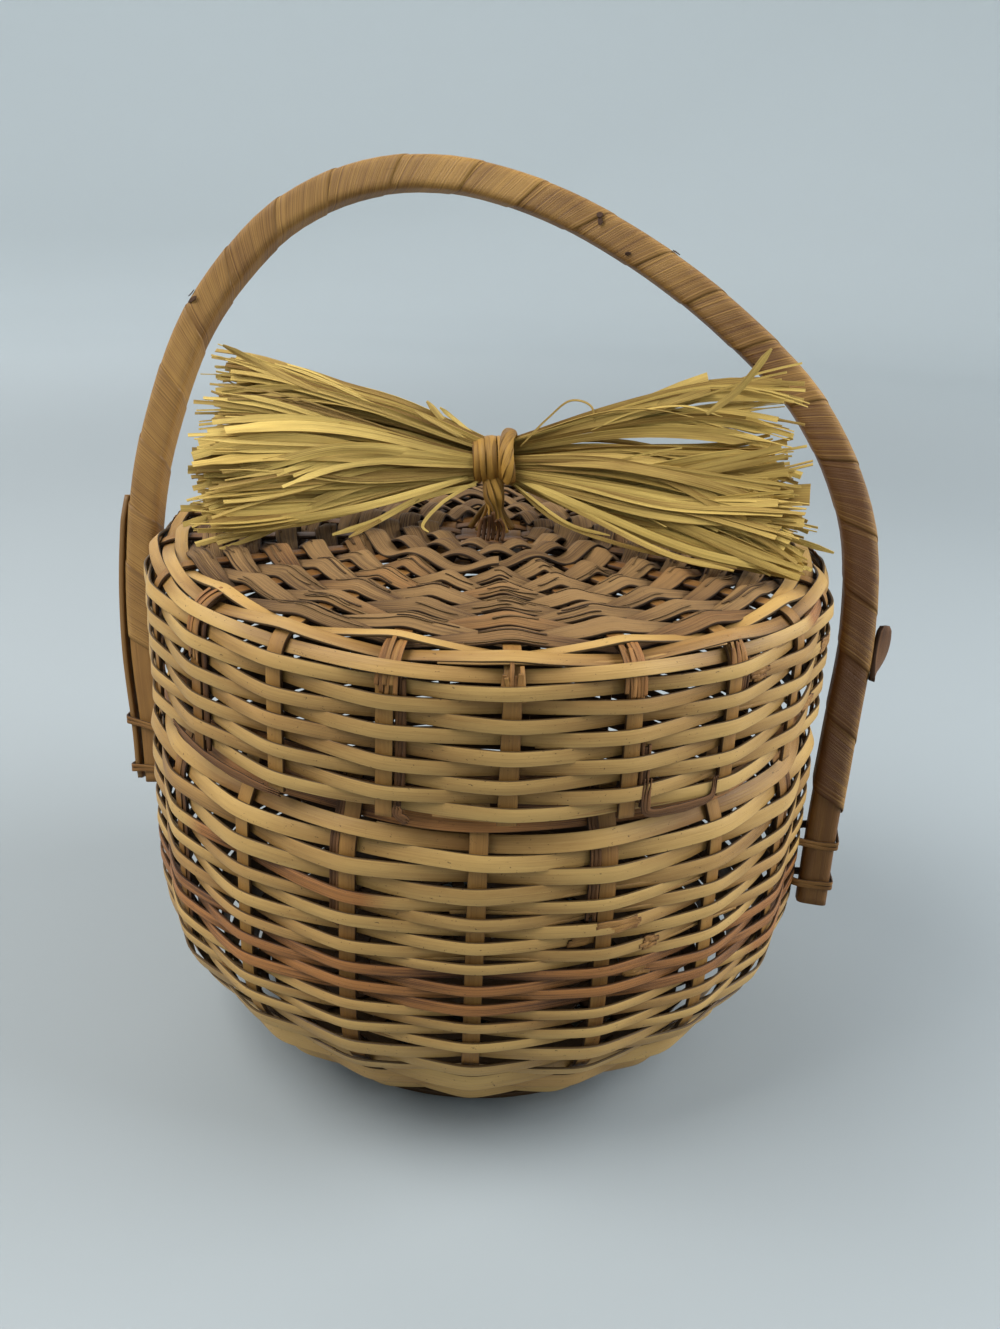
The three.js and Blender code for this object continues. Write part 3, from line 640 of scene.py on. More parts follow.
def add_stake(shell, name, path, normal, seed):
    both = smooth(resample(np.concatenate([path, normal], axis=1), 0.9), 2)
    centre, facing = both[:, :3], unit(both[:, 3:])
    along = lengths_of(centre)
    width = STAKE_WIDTH * (1 + 0.06 * waves(along, seed, 30.0))
    tone = 0.5 + 0.18 * waves(along, seed + 5, 60.0) + rng.uniform(-0.15, 0.15)
    if shell is LID:
        tone = tone - 0.5 * (np.hypot(centre[:, 0], centre[:, 1]) < WALL_RADIUS - 9)
    piece = Piece(f"{name}_splint")
    piece.add_strip(centre, facing, width, STAKE_THICKNESS, tone, 0.06, 700.0 * seed)
    piece.make(STAKE, shell.body, "stake_splint", name)


def lattice_offset(index, count):
    return (index - (count - 1) / 2) * LATTICE_PITCH


def add_stakes(shell, x_ends, y_ends, single, single_start):
    """Two sets of splints that cross in the middle, and one half splint that makes the count odd."""
    middle = shell.points[0, 1]
    facing = np.array([0, 0, -shell.side], float)
    flat = STAKE_WIDTH / 2 + 0.1
    for axis, own, crossed, seed in (("x", x_ends, y_ends, 0), ("y", y_ends, x_ends, 20)):
        places = [lattice_offset(other, len(crossed)) for other in range(len(crossed))]
        reach = places[-1] + FAN_START
        for index, ends in enumerate(own):
            aside = lattice_offset(index, len(own))
            steps = [(-reach, aside, middle)]
            for other, place in enumerate(places):
                above = (index + other + (axis == "y")) % 2 == 0
                height = middle + (LATTICE_RISE if above else -LATTICE_RISE)
                steps += [(place - flat, aside, height), (place + flat, aside, height)]
            steps.append((reach, aside, middle))
            lattice = np.array(steps)
            if axis == "y":
                lattice = lattice[:, [1, 0, 2]]
            low, low_out = stake_out(shell, ends[0], shell.fan_radius)
            high, high_out = stake_out(shell, ends[1], shell.fan_radius)
            path = np.concatenate([low[::-1], lattice, high])
            normal = np.concatenate([low_out[::-1], np.tile(facing, (len(lattice), 1)), high_out])
            add_stake(shell, f"{shell.name}_stake_{axis}{index + 1}", path, normal, seed + index)
    path, normal = stake_out(shell, single, single_start)
    add_stake(shell, f"{shell.name}_stake_single", path, normal, 40)


for weaver, (fill, swing, lean) in enumerate(zip(BODY_FILLS, BODY_SWINGS, BODY_LEANS)):
    slot = "pith_splint" if weaver == BROWN_WEAVER else "weaver_splint"
    add_weaver(BODY, weaver, SKIN, slot, fill, swing, lean)
for weaver in range(len(LID_CROSSINGS)):
    if weaver < LID_TOP_WEAVERS:
        add_weaver(LID, weaver, TOP, "lid_top_splint", fill=1.18, more=1.5, lean=0.2, arch=0.7, peak=0.13,
                   lens=0.3)
    else:
        add_weaver(LID, weaver, SKIN, "weaver_splint", fill=0.94, more=1.15, lean=-0.03)
add_stakes(BODY, BODY_ENDS_X, BODY_ENDS_Y, single=0, single_start=19.5)
add_stakes(LID, LID_ENDS_X, LID_ENDS_Y, single=-5, single_start=22)


def add_centre_rows(shell, material, slot, outer, pitch, lift, wave):
    """Close rows over the middle, lying on the stakes where they fan out."""
    rows = Piece(f"{shell.name}_centre_rows")
    turns = (outer - CENTRE_RADIUS) / pitch * shell.stakes
    crossing = np.arange(-turns, 0, 1 / 12)
    length = outer + crossing * pitch / shell.stakes
    rise = lift + wave * np.cos(math.pi * crossing) * np.clip(length / 22, 0.4, 1)
    place, _, out = shell.at(length, shell.angle(crossing), rise)
    tone = 0.5 + 0.25 * waves(crossing, 71, 5.0)
    rows.add_strip(place, out, pitch * 1.06, WEAVER_THICKNESS, tone, 0.5, 9000.0)
    rows.make(material, shell.body, slot)


add_centre_rows(LID, TOP, "lid_top_splint", outer=30.6, pitch=4.75, lift=2.1, wave=1.35)
add_centre_rows(BODY, SKIN, "weaver_splint", outer=27.6, pitch=4.5, lift=-1.8, wave=0.5)


# Trim: strands that splints have split into
def each_strand(table, count):
    """Every strand of every row of a table, with the row's number."""
    for number, row in enumerate(table):
        for strand in range(count):
            yield number, strand, row


# Brown splints beside stakes: stake, millimetres aside, lowest and highest end
SIDE_SPLINTS = {
    "body": [(-1, -3.0, 62, 96), (1, -3.1, 66, 97), (-3, 3.0, 40, 92), (-4, -3.0, 30, 88), (6, 3.0, 36, 94),
             (9, -3.0, 50, 95), (-8, 3.0, 44, 90), (3, 3.0, 58, 92)],
    "lid": [(-1, 3.0, 91, 121), (-3, 3.0, 91, 121), (1, 3.2, 91, 106), (2, 2.9, 108, 119), (5, -3.0, 91, 118),
            (8, 3.0, 92, 117), (-6, -3.0, 91, 119), (-9, 3.0, 95, 120)],
}


def add_side_splints(shell):
    piece = Piece(f"{shell.name}_brown_splints")
    for number, strand, (stake, aside, low, high) in each_strand(SIDE_SPLINTS[shell.name], 3):
        beside = aside + (strand - 1) * SPLIT_PITCH
        top = high - rng.uniform(0, 3)
        bottom = low + rng.uniform(0, 3)
        steps = [(stake, beside, bottom), (stake, beside + 0.2, (top + bottom) / 2), (stake, beside, top)]
        place, up, out = shell.path(steps, 40, 0.1 * (strand - 1))
        facing = out + 0.35 * (strand - 1) * np.cross(out, up)
        tone = rng.uniform(0.25, 0.75)
        piece.add_strip(place, facing, 0.78, 0.45, tone, 0.12, 80.0 * number + 20 * strand)
    piece.make(BROWN, shell.body, "pith_splint")


# Thin second strands: first and last crossing, share of the pitch up from the row, width
SECOND_STRANDS = {
    "body": [
        (455.6, 458.4, -0.5, 0.8), (512.7, 515.2, -0.5, 0.8), (531.8, 533.9, -0.5, 0.9),
        (435.5, 437.7, 0.5, 0.6), (551.0, 552.6, -0.5, 0.8), (411.4, 413.2, 0.5, 0.6),
        (282.6, 285.3, -0.5, 0.7), (301.4, 303.6, -0.5, 0.7), (224.2, 226.8, 0.45, 0.8),
        (208.1, 210.7, -0.45, 0.8),
    ],
    "lid": [
        (230.4, 232.9, -0.42, 0.7), (336.2, 338.8, -0.45, 0.8), (420.5, 423.6, -0.48, 0.8),
        (440.4, 444.8, -0.48, 0.8), (275.1, 277.5, 0.42, 0.6),
    ],
}


def add_second_strands(shell):
    piece = Piece(f"{shell.name}_second_strands")
    earlier = 0 if shell is BODY else len(SECOND_STRANDS["body"])
    for number, (first, last, share, width) in enumerate(SECOND_STRANDS[shell.name], earlier):
        crossing = np.linspace(first, last, 60)
        aside = share * shell.pitch_at(first) * shell.side
        drift = aside * (0.75 + 0.25 * np.cos((crossing - first) * 2.2))
        place, _, out = shell.on_row(crossing, drift, 0.05)
        tone = rng.uniform(0.3, 0.8)
        piece.add_strip(place, out, width, SPLIT_THICKNESS, tone, 0.08, 50.0 * number, pith=0.35)
    piece.make(SKIN, shell.body, "weaver_splint")


# Broken joints of the bamboo on weavers: crossing, length in stakes
JOINTS = {
    "body": [(475.7, 0.34), (494.9, 0.4), (457.3, 0.2), (400.2, 0.25), (301.6, 0.3), (542.4, 0.3),
             (288.8, 0.3)],
    "lid": [(402.3, 0.3), (318.6, 0.3), (296.2, 0.25)],
}


def add_joints(shell):
    piece = Piece(f"{shell.name}_bamboo_joints")
    part = np.linspace(-1, 1, 20)
    lift = 0.34 + 0.16 * np.exp(-(part * 3) ** 2) + 0.1 * np.maximum(part, 0) ** 4
    for number, strand, (first, reach) in each_strand(JOINTS[shell.name], 4):
        start = first + rng.uniform(0, 0.06)
        crossing = np.linspace(start, first + reach - rng.uniform(0, 0.08), 20)
        drift = (strand - 1.5) * 0.23 * shell.pitch_at(first) + 0.15 * np.sin(part * 3 + strand)
        place, _, out = shell.on_row(crossing, drift, lift)
        tone = rng.uniform(0.5, 0.9) - 0.5 * np.abs(part) ** 3
        piece.add_strip(place, out, 1.0, SPLIT_THICKNESS, tone, 0.05, 130.0 * number + 30 * strand,
                        pith=0.25)
    piece.make(STAKE, shell.body, "weaver_splint")


# Ends of lid stakes bent along the rim: steps of stake, millimetres aside and height
RIM_BENDS = [
    [(1, 3.4, 98), (1, 3.4, 92.2), (1, 3.7, 90.8), (1, 4.8, 90.2), (1.6, 0, 90.0), (2, -5.6, 90.3),
     (2, -4.5, 90.8), (2, -4.1, 92), (2, -3.9, 95)],
    [(-3.4, 0, 93.2), (-3, 0, 91.4), (-2.5, 0, 90.2), (-2, 2, 89.4)],
    [(-1, 3, 92.6), (-1, 3.4, 90.6), (-1, 5.4, 89.6)],
    [(5, -3, 96), (5, -3, 92), (5, 0, 90.2), (5.7, 0, 90), (6, -3, 91)],
    [(9, 3, 95), (9, 3.4, 91.5), (9.4, 0, 90.1), (10, 0, 90.6)],
    [(-7, 3, 95), (-7, 3.4, 91.5), (-6.5, 0, 90.1), (-6, -2, 90.6)],
]
BEND_RINGS = 70
# Torn brown ends on the edge of the lid: stake, millimetres aside, first and last length from the middle
TORN_ENDS = [
    (-1, 0.6, 73, 86), (0, 0, 78, 85), (1, -0.4, 74, 86), (2, 0, 77, 86), (-3, 0.5, 72, 90), (-6, 0, 76, 88),
    (5, 0, 75, 87), (8, 0.4, 77, 86), (-9, 0, 74, 87),
]
TORN_RINGS = 24


def add_rim_bends(piece):
    step = np.arange(BEND_RINGS)
    width = 0.75 * np.clip(np.minimum(step, BEND_RINGS - 1 - step) / 12, 0.3, 1)
    for number, strand, steps in each_strand(RIM_BENDS, 3):
        place, _, out = LID.path(steps, BEND_RINGS, 1.4 + 0.1 * strand)
        shift = (strand - 1) * 0.62 + 0.12 * waves(step, number + strand, 6.0)[:, None]
        sideways = unit(np.cross(out, directions(place)))
        tone = 0.45 + 0.2 * strand
        piece.add_strip(place + sideways * shift, out, width, 0.3, tone, 0.05, 90.0 * number)


def add_torn_ends(piece):
    part = np.linspace(-1, 1, TORN_RINGS)
    for number, strand, (stake, beside, first, last) in each_strand(TORN_ENDS, 6):
        aside = beside + (strand - 2.5) * SPLIT_PITCH
        start = first + rng.uniform(0, 3)
        length = np.linspace(start, last - rng.uniform(0, 3), TORN_RINGS)
        angle = LID.angle(stake) + (aside + rng.uniform(-0.4, 0.4) * part) / WALL_RADIUS
        curl = np.linspace(1, 0, TORN_RINGS) ** 4 * rng.uniform(0, 0.9)
        place, _, out = LID.at(length, angle, 0.7 + 0.06 * (strand % 3) + curl)
        tone = rng.uniform(0.3, 1.0)
        piece.add_strip(place, out, 0.85, SPLIT_THICKNESS, tone, 0.02, 300.0 * number + 60 * strand,
                        pith=rng.uniform(0.2, 1.0))


def add_tuft(piece):
    """Loose ends that stand up in the middle of the lid, in front of the bow's tie."""
    for strand in range(6):
        root = np.array([-3.0 + 1.1 * strand, -10.5 - 0.4 * (strand % 3), 125.6])
        tip = root + [0.8 - 0.3 * strand, 0.4 - 0.3 * strand, 5.0 + 0.6 * (strand % 4)]
        line = curve_through([root, root + [0.3, 0.6, 3.0], tip], 12)
        facing = [0.1 * strand, -1.0, 0.3]
        tone = rng.uniform(0.2, 0.9)
        piece.add_strip(line, facing, 0.9, SPLIT_THICKNESS, tone, 0.1, 5000.0 + 70 * strand)


for woven in (BODY, LID):
    add_joints(woven)
    add_side_splints(woven)
    add_second_strands(woven)
rim_ends = Piece("lid_rim_ends")
torn_ends = Piece("lid_torn_ends")
add_rim_bends(rim_ends)
add_torn_ends(torn_ends)
add_tuft(rim_ends)
rim_ends.make(BROWN, "lid", "pith_splint")
torn_ends.make(STAKE, "lid", "stake_splint")

hoop_angle = np.linspace(0, FULL_TURN, 120, endpoint=False)
hoop_line = columns(HOOP_RADIUS * np.cos(hoop_angle), HOOP_RADIUS * np.sin(hoop_angle), HOOP_HEIGHT)
hoop = Piece("base_hoop_splint")
hoop.add_strip(hoop_line, [0.0, 0.0, -1.0], HOOP_WIDTH, HOOP_THICKNESS, 0.5, closed=True)
hoop.make(STAKE, "basket", "stake_splint", "base_hoop")


# Handle: the strap's middle line, its directions, and places beside it
def foot_at(stake):
    angle = float(BODY.angle(stake))
    return np.array([WALL_RADIUS * math.cos(angle), WALL_RADIUS * math.sin(angle), FOOT_HEIGHT])


left_foot = foot_at(LEFT_FOOT_STAKE)
right_foot = foot_at(RIGHT_FOOT_STAKE)
handle_middle = (left_foot + right_foot) / 2
handle_across = unit(right_foot - left_foot)
handle_back = np.cross([0, 0, 1], handle_across)
handle_up = np.array([0, 0, math.cos(HANDLE_LEAN)]) + handle_back * math.sin(HANDLE_LEAN)
handle_deep = unit(np.cross(handle_up, handle_across))
handle_line = curve_through([
    handle_middle + handle_across * share * HANDLE_HALF_SPAN + handle_up * rise * HANDLE_RISE
    for share, rise in HANDLE_LINE
], 1200)
handle_along = lengths_of(handle_line)
handle_total = handle_along[-1]
handle_away = unit(np.cross(directions(handle_line), handle_deep))


def handle_at(length, outward, deep):
    place = interp_rows(length, handle_along, handle_line)
    away = interp_rows(length, handle_along, handle_away)
    return place + away * np.asarray(outward)[..., None] + handle_deep * np.asarray(deep)[..., None]


def strap_section(angle, grow):
    """Rounded rectangle of the strap, grown all round."""
    cos, sin = np.cos(angle), np.sin(angle)
    outward = np.sign(cos) * np.abs(cos) ** CORNER_POWER * (CORE_HALF_THICKNESS + grow)
    deep = np.sign(sin) * np.abs(sin) ** CORNER_POWER * (CORE_HALF_DEPTH + grow)
    return outward, deep


even_angle = np.linspace(0, FULL_TURN, 721)
even_share = lengths_of(columns(*strap_section(even_angle, 0.3)))


def angle_at(turn):
    """Angle round the strap's section after a share of its outline."""
    return np.interp(np.asarray(turn) % 1, even_share / even_share[-1], even_angle)


def add_core():
    piece = Piece("handle_core_strap")
    length = np.linspace(0, handle_total, 260)
    angle = angle_at(np.arange(36) / 36)
    rings = handle_at(length[:, None], *strap_section(angle, 0.0))
    strip = columns(length[:, None], 0.75 * np.cos(angle), 0.0)
    # Tone darker towards the right end of the strap: painted shade of the right leg
    piece.add_rings(rings, strip, 0.5 - 0.45 * np.clip(length / handle_total * 3 - 2, 0, 1))
    piece.make(CANE, "basket", "cane_strap", "handle_core")


def add_wrap():
    """Leaf strip wound round the strap, each turn lapped over the one before."""
    piece = Piece("handle_wrap_leaf")
    pitch = (handle_total - WRAP_START - WRAP_END) / (WRAP_TURNS + 1)
    turn = np.arange(WRAP_TURNS * WRAP_STEPS + 1) / WRAP_STEPS
    parts = np.array([-0.04, 0.0, 0.2, 0.45, 0.7, 0.95, 1.06, 1.1])
    lift = np.array([0.1, 0.14, 0.2, 0.24, 0.28, 0.32, 0.35, 0.35])
    uneven = 0.05 * np.sin(turn * 2.1) + 0.04 * np.sin(turn * 5.3 + 1)
    begin = WRAP_START + pitch * turn
    length = begin[:, None] + pitch * (parts + uneven[:, None] * (parts > 0.8))
    angle = angle_at(turn)
    over = handle_at(length, *strap_section(angle[:, None], lift + 0.2))
    under = handle_at(length, *strap_section(angle[:, None], lift - 0.1))
    rings = np.concatenate([over, under[:, ::-1]], axis=1)
    across = np.clip(np.concatenate([parts, parts[::-1]]) * 2 - 1, -1, 1)
    face = np.repeat([0.0, 1.0], len(parts))
    strip = columns(turn[:, None] * 28.0, across, face)
    # Painted shade on the right leg: the wrap is darker there, except on its outward face, which stays
    # lighter as a painted lit edge
    shade = np.clip((turn - 13.5) / 4, 0, 1)
    inner = 0.5 - 0.5 * np.clip(np.cos(angle), 0, 1)
    tone = 0.5 - inner * shade + 0.14 * waves(turn, 5, 1.1) + 0.06 * waves(turn, 6, 0.2)
    piece.add_rings(rings, strip, tone)
    piece.make(LEAF, "basket", "leaf_wrap", "handle_wrap")


# Dark torn places on the wrap: share of the span, side of the section, length and width
TORN_WRAP = [
    (0.2, 0.8, 1.2, 1.5), (0.21, 0.76, 0.8, 2.0), (0.31, 0.66, 1.1, 0.9), (0.4, 0.9, 1.8, 0.5),
    (-0.93, 0.98, 2.4, 1.0), (-0.92, 0.9, 0.7, 3.0), (-0.925, 0.82, 0.5, 3.0), (0.7, 0.62, 1.5, 0.5),
]


def add_torn_places():
    piece = Piece("handle_torn_places")
    span = (handle_line - handle_middle) @ handle_across / HANDLE_HALF_SPAN
    arch = slice(int(np.argmin(span)), int(np.argmax(span)))
    part = np.linspace(0, 1, 12)
    for share, side, reach, width in TORN_WRAP:
        length = np.interp(share, span[arch], handle_along[arch]) + reach * part
        place = handle_at(length, *strap_section(angle_at(side + 0.03 * part), 0.78))
        facing = place - handle_at(length, 0.0, 0.0)
        taper = np.sin(np.linspace(0.5, 2.8, 12))
        piece.add_strip(place, facing, width * taper, 0.16, 0.05, 0.0, 40 * share)
    piece.make(BROWN, "basket", "leaf_wrap")


def add_strap_end(name, node, look, tone, start, end, lift, twist):
    """End of the strap folded back along the outside of a leg."""
    part = np.linspace(0, 1, 60)
    length = start + (end - start) * part
    rise = np.sin(part * math.pi / 2)
    place = handle_at(length, STRAP_END_OUT + lift * rise, 0.25 * np.sin(part * 3))
    facing = handle_at(length, np.cos(twist * rise), -np.sin(twist * rise)) - handle_at(length, 0.0, 0.0)
    width = STRAP_END_WIDTH * np.clip(0.75 + 4 * part, 0, 1) * np.clip(0.6 + 5 * (1 - part), 0, 1)
    width = width * (1 - 0.6 * twist * part ** 2)
    piece = Piece(name)
    piece.add_strip(place, facing, width, STRAP_END_THICKNESS, tone + 0.1 * waves(part, 3, 0.2), 0.15)
    piece.make(look, "basket", "cane_strap", node)


def add_foot_loop(node, stake, outer, slant):
    """Splint tied through the wall round a stake and the foot of the handle."""
    low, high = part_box(node)
    height = (low[2] + high[2]) / 2 / MM
    leg = slice(0, 240) if stake < 0 else slice(-240, None)
    order = np.argsort(handle_line[leg][:, 2])
    foot = interp_rows(height, handle_line[leg][order, 2], handle_line[leg][order])
    away = handle_away[leg][120]
    corners = [
        foot + away * outward + handle_deep * deep
        for outward in (LOOP_INNER, outer) for deep in (-LOOP_HALF_DEPTH, LOOP_HALF_DEPTH)
    ]
    beside = BODY.angle(stake) + np.array([-2.4, 2.4]) / WALL_RADIUS
    inside, _, _ = BODY.at(BODY.length_at(np.full(2, height)), beside, -0.9)
    flat = np.concatenate([corners, inside])[:, :2]
    outline = flat[convex_hull_2d(flat.tolist())]
    outline = np.roll(outline, -np.argmin(outline[:, 0]), axis=0)
    closed = resample(np.concatenate([outline, outline[:1]]), 0.5)[:-1]
    closed = smooth(np.concatenate([closed, closed, closed]), 1)[len(closed):2 * len(closed)]
    part = np.linspace(0, FULL_TURN, len(closed), endpoint=False)
    piece = Piece(f"{node}_splint")
    facing = columns(*(closed - closed.mean(axis=0)).T, 0)
    for strand in range(2):
        level = height + slant * np.sin(part) + (strand - 0.5) * LOOP_STRAND_PITCH
        centre = columns(*closed.T, level + 0.15 * np.sin(3 * part + strand))
        tone = 0.2 + 0.2 * waves(part, 4 + strand, 0.6)
        piece.add_strip(centre, facing, 1.0, SPLIT_THICKNESS, tone, 0.05, 90.0 * strand, True)
    piece.make(STAKE, "basket", "stake_splint", node)


add_core()
add_wrap()
add_torn_places()
# Left strap end given a light tone as painted light; right strap end made in the brown splint colour as
# painted shade of the right leg
add_strap_end("strap_end_left", "handle_strap_left", CANE, 0.9, start=1, end=75, lift=0.1, twist=0.0)
add_strap_end("strap_end_right", "handle_strap_right", BROWN, 0.45, start=handle_total - 57,
              end=handle_total - 70, lift=1.4, twist=0.8)
for foot, foot_stake, outer in (("left", LEFT_FOOT_STAKE, 6.5), ("right", RIGHT_FOOT_STAKE, 4.1)):
    for loop, slant in ((1, 0.6), (2, -0.6)):
        add_foot_loop(f"foot_loop_{foot}_{loop}", foot_stake, outer, slant)

# Raffia bow: how each fan runs out from the waist, and its strands
LEFT_FAN = {
    "across": [0, 5.3, 22, 40, 53, 62, 70], "forward": [0, 0, 3, 5, 8, 10, 12],
    "height": [0, 0, 2, 2.5, 2.8, 2.6, 2.4], "tall": [3.6, 5.0, 11.5, 15.5, 19, 20, 21],
    "deep": [3.6, 4.4, 5, 6, 6.5, 6.5, 6.5], "lean": [0, 0, 12, 22, 32, 38, 42],
}
RIGHT_FAN = {
    "across": [0, 5.3, 22, 40, 54, 63, 72], "forward": [0, 0, 7, 13, 19, 23, 27],
    "height": [0, 0, 2, 3, 4.5, 5, 5.2], "tall": [3.6, 5.2, 12, 16.5, 19, 20, 20.5],
    "deep": [3.6, 4.4, 5, 5.5, 6, 6, 6], "lean": [0, 0, 6, 10, 14, 16, 18],
}


def fan_place(fan, side, across, up, out):
    values = {key: np.interp(across, fan["across"], fan[key]) for key in fan}
    lean = np.radians(values["lean"])
    rise, reach = up * values["tall"], out * values["deep"]
    cos, sin = np.cos(lean), np.sin(lean)
    forward = -values["forward"] + rise * sin + reach * cos
    height = KNOT_HEIGHT + values["height"] + rise * cos - reach * sin
    return columns(side * across, forward, height), columns(0, cos, -sin)


def add_fan(name, fan, side, count, tip, lower, seed):
    """Strands of one side in locks that run together, each split into ribbons, with more of them low down."""
    draw = np.random.default_rng(seed)
    piece = Piece(name)
    for strand in range(count):
        if strand % LOCK_STRANDS == 0:
            lock_up = 2 * draw.uniform() ** lower - 1
            lock_end = np.clip(0.85 * lock_up + draw.normal(0, 0.3), -1, 1)
            lock_side = draw.choice([-1, 1])
            lock_start = draw.uniform(0, 6)
            lock_bends = draw.uniform(3, 7)
        kind = HAIR if strand % LOCK_STRANDS == LOCK_STRANDS - 1 else STRAND
        up = np.clip(lock_up + draw.normal(0, 0.1), -1, 1)
        up_end = np.clip(lock_end + draw.normal(0, 0.14), -1.04, 1.04)
        out = lock_side * math.sqrt(max(0.0, 1 - up * up)) * draw.uniform(0.3, 1.0)
        out_end = out * draw.uniform(0.5, 1.0) + draw.normal(0, 0.15)
        reach = tip + draw.normal(0, 1.8)
        if draw.uniform() < SHORT_SHARE:
            reach = reach - draw.uniform(3, 24)
        across = np.linspace(0.6, reach, RIBBON_RINGS)
        part = across / reach
        ease = part ** draw.uniform(0.8, 2.2)
        sway = draw.uniform(0.06, 0.22) * part * np.sin(part * lock_bends + lock_start)
        sway = sway * kind["sway"] - draw.uniform(0.0, 0.22) * part ** 2
        height = np.clip(up + (up_end - up) * ease + sway, -1.04, 1.08)
        place, facing = fan_place(fan, side, across, height, out + (out_end - out) * ease)
        place = smooth(place, 2)
        tangent = directions(place)
        roll = draw.normal(0, 0.26) + draw.normal(0, 0.4) * part
        sideways = unit(np.cross(tangent, facing))
        turned = facing * np.cos(roll)[:, None] + sideways * np.sin(roll)[:, None]
        along = unit(np.cross(turned, tangent))
        ribbons = draw.integers(*kind["ribbons"])
        wide = draw.uniform(*(kind["width"] if ribbons > 1 else BROAD_WIDTH))
        tone = np.clip(draw.normal(0.45, 0.16), 0.0, 1.0)
        for ribbon in range(ribbons):
            gap = 0.25 + 0.7 * part + draw.uniform(0, kind["parting"]) * part ** 4
            spread = (ribbon - (ribbons - 1) / 2) * wide * gap
            bend = draw.normal(0, kind["bend"]) * part ** 3
            centre = place + along * spread[:, None] + facing * bend[:, None]
            keep = RIBBON_RINGS - draw.integers(0, 2)
            torn = np.where(np.arange(RIBBON_RINGS) > keep - 3, draw.uniform(0.15, 1.0), 1.0)
            width = (wide * (0.3 + 0.75 * part) * torn)[:keep]
            # Tone random per strand, darker near the waist and lighter at the tips: painted shade where the
            # strands crowd together
            shade = tone + draw.normal(0, 0.1) + 0.3 * (part - 0.5)
            fold = 0.06 * width * draw.normal(0, 1)
            start = 900.0 * strand + 310 * ribbon
            piece.add_strip(centre[:keep], np.sign(out) * turned[:keep], width, RIBBON_THICKNESS,
                            shade[:keep], 0.0, start, fold=fold, section=RIBBON)
    return piece


# Strands that have come loose: points across, forward and up, and width at the middle
LEFT_STRAYS = [
    ([(-4, -3, 139), (-27, -9, 138), (-42, -14, 133), (-55, -17, 127.6)], 2.2),
    ([(-4, -4, 137), (-17, -8, 134), (-27, -13, 129.5), (-36, -17, 127.2)], 1.4),
    ([(-17, -8, 134), (-25, -12, 130), (-32, -19, 127.4)], 1.0),
    ([(-3, -3, 138), (-12, -8, 133), (-16, -10, 128), (-14.5, -11, 127)], 0.8),
    ([(-4, 0, 145.5), (-10, -1, 149), (-16, -2, 155.5)], 1.5),
    ([(-4, -1, 145.5), (-11, -3, 149.5), (-18.5, -4, 153.5)], 1.2),
    ([(-3, 0, 146), (-8, 0, 150), (-13, -1, 154)], 1.0),
    ([(-40, -10, 158), (-52, -9, 163), (-61, -8, 167)], 1.4),
    ([(-6, -4, 138.5), (-30, -14, 133), (-52, -19, 129.5), (-63, -22, 128.2)], 1.8),
    ([(-8, -3, 143), (-34, -12, 146), (-52, -16, 142), (-64, -19, 140)], 2.4),
]
RIGHT_STRAYS = [
    ([(46, -17, 158), (52, -19, 164), (57.5, -21, 173)], 1.5),
    ([(48, -20, 138), (62, -24, 134), (75, -28, 131)], 1.3),
    ([(4, -4, 138), (14, -9, 131), (32, -19, 127.6), (54, -29, 127)], 0.9),
    ([(5, -4, 139), (24, -14, 134), (46, -25, 129), (66, -31, 127.2)], 1.8),
    ([(5, -4, 139), (22, -13, 133), (40, -24, 127.8), (53, -31, 126.9)], 1.4),
    ([(6, -2, 146), (12, -3, 153), (17, -4, 157.4), (21.5, -5, 156.5), (23, -5, 151)], 0.45),
    ([(22, -5, 151), (31, -8, 156), (42, -12, 158.6), (50, -14, 157)], 0.4),
    ([(6, -4, 143), (28, -14, 145), (50, -23, 143), (68, -29, 138)], 2.2),
    ([(5, -5, 137.5), (18, -12, 130.5), (27, -16, 129.4)], 0.7),
]
STRAY_RINGS = 40


def add_strays(piece, strays, start):
    part = np.linspace(0, 1, STRAY_RINGS)
    for number, (controls, width) in enumerate(strays):
        turn = 0.4 * np.sin(part * 4 + number)[:, None]
        facing = np.array([0.0, -1.0, 0.35]) + turn * np.array([1, 0, 1])
        taper = width * np.clip(0.5 + 3 * part, 0, 1) * np.clip(0.35 + 5 * (1 - part), 0, 1)
        tone = 0.55 + 0.3 * math.sin(number * 2.4)
        piece.add_strip(curve_through(controls, STRAY_RINGS), facing, taper, STRAY_THICKNESS, tone, 0.0,
                        start + 77.0 * number, fold=0.05 * taper, section=RIBBON)


left_fan = add_fan("raffia_left", LEFT_FAN, side=-1, count=170, tip=65.0, lower=1.0, seed=31)
add_strays(left_fan, LEFT_STRAYS, 20000.0)
left_fan.make(RAFFIA, "lid", "raffia", "raffia_fan_left", rounded=False)
right_fan = add_fan("raffia_right", RIGHT_FAN, side=1, count=150, tip=66.0, lower=1.35, seed=32)
add_strays(right_fan, RIGHT_STRAYS, 30000.0)
right_fan.make(RAFFIA, "lid", "raffia", "raffia_fan_right", rounded=False)


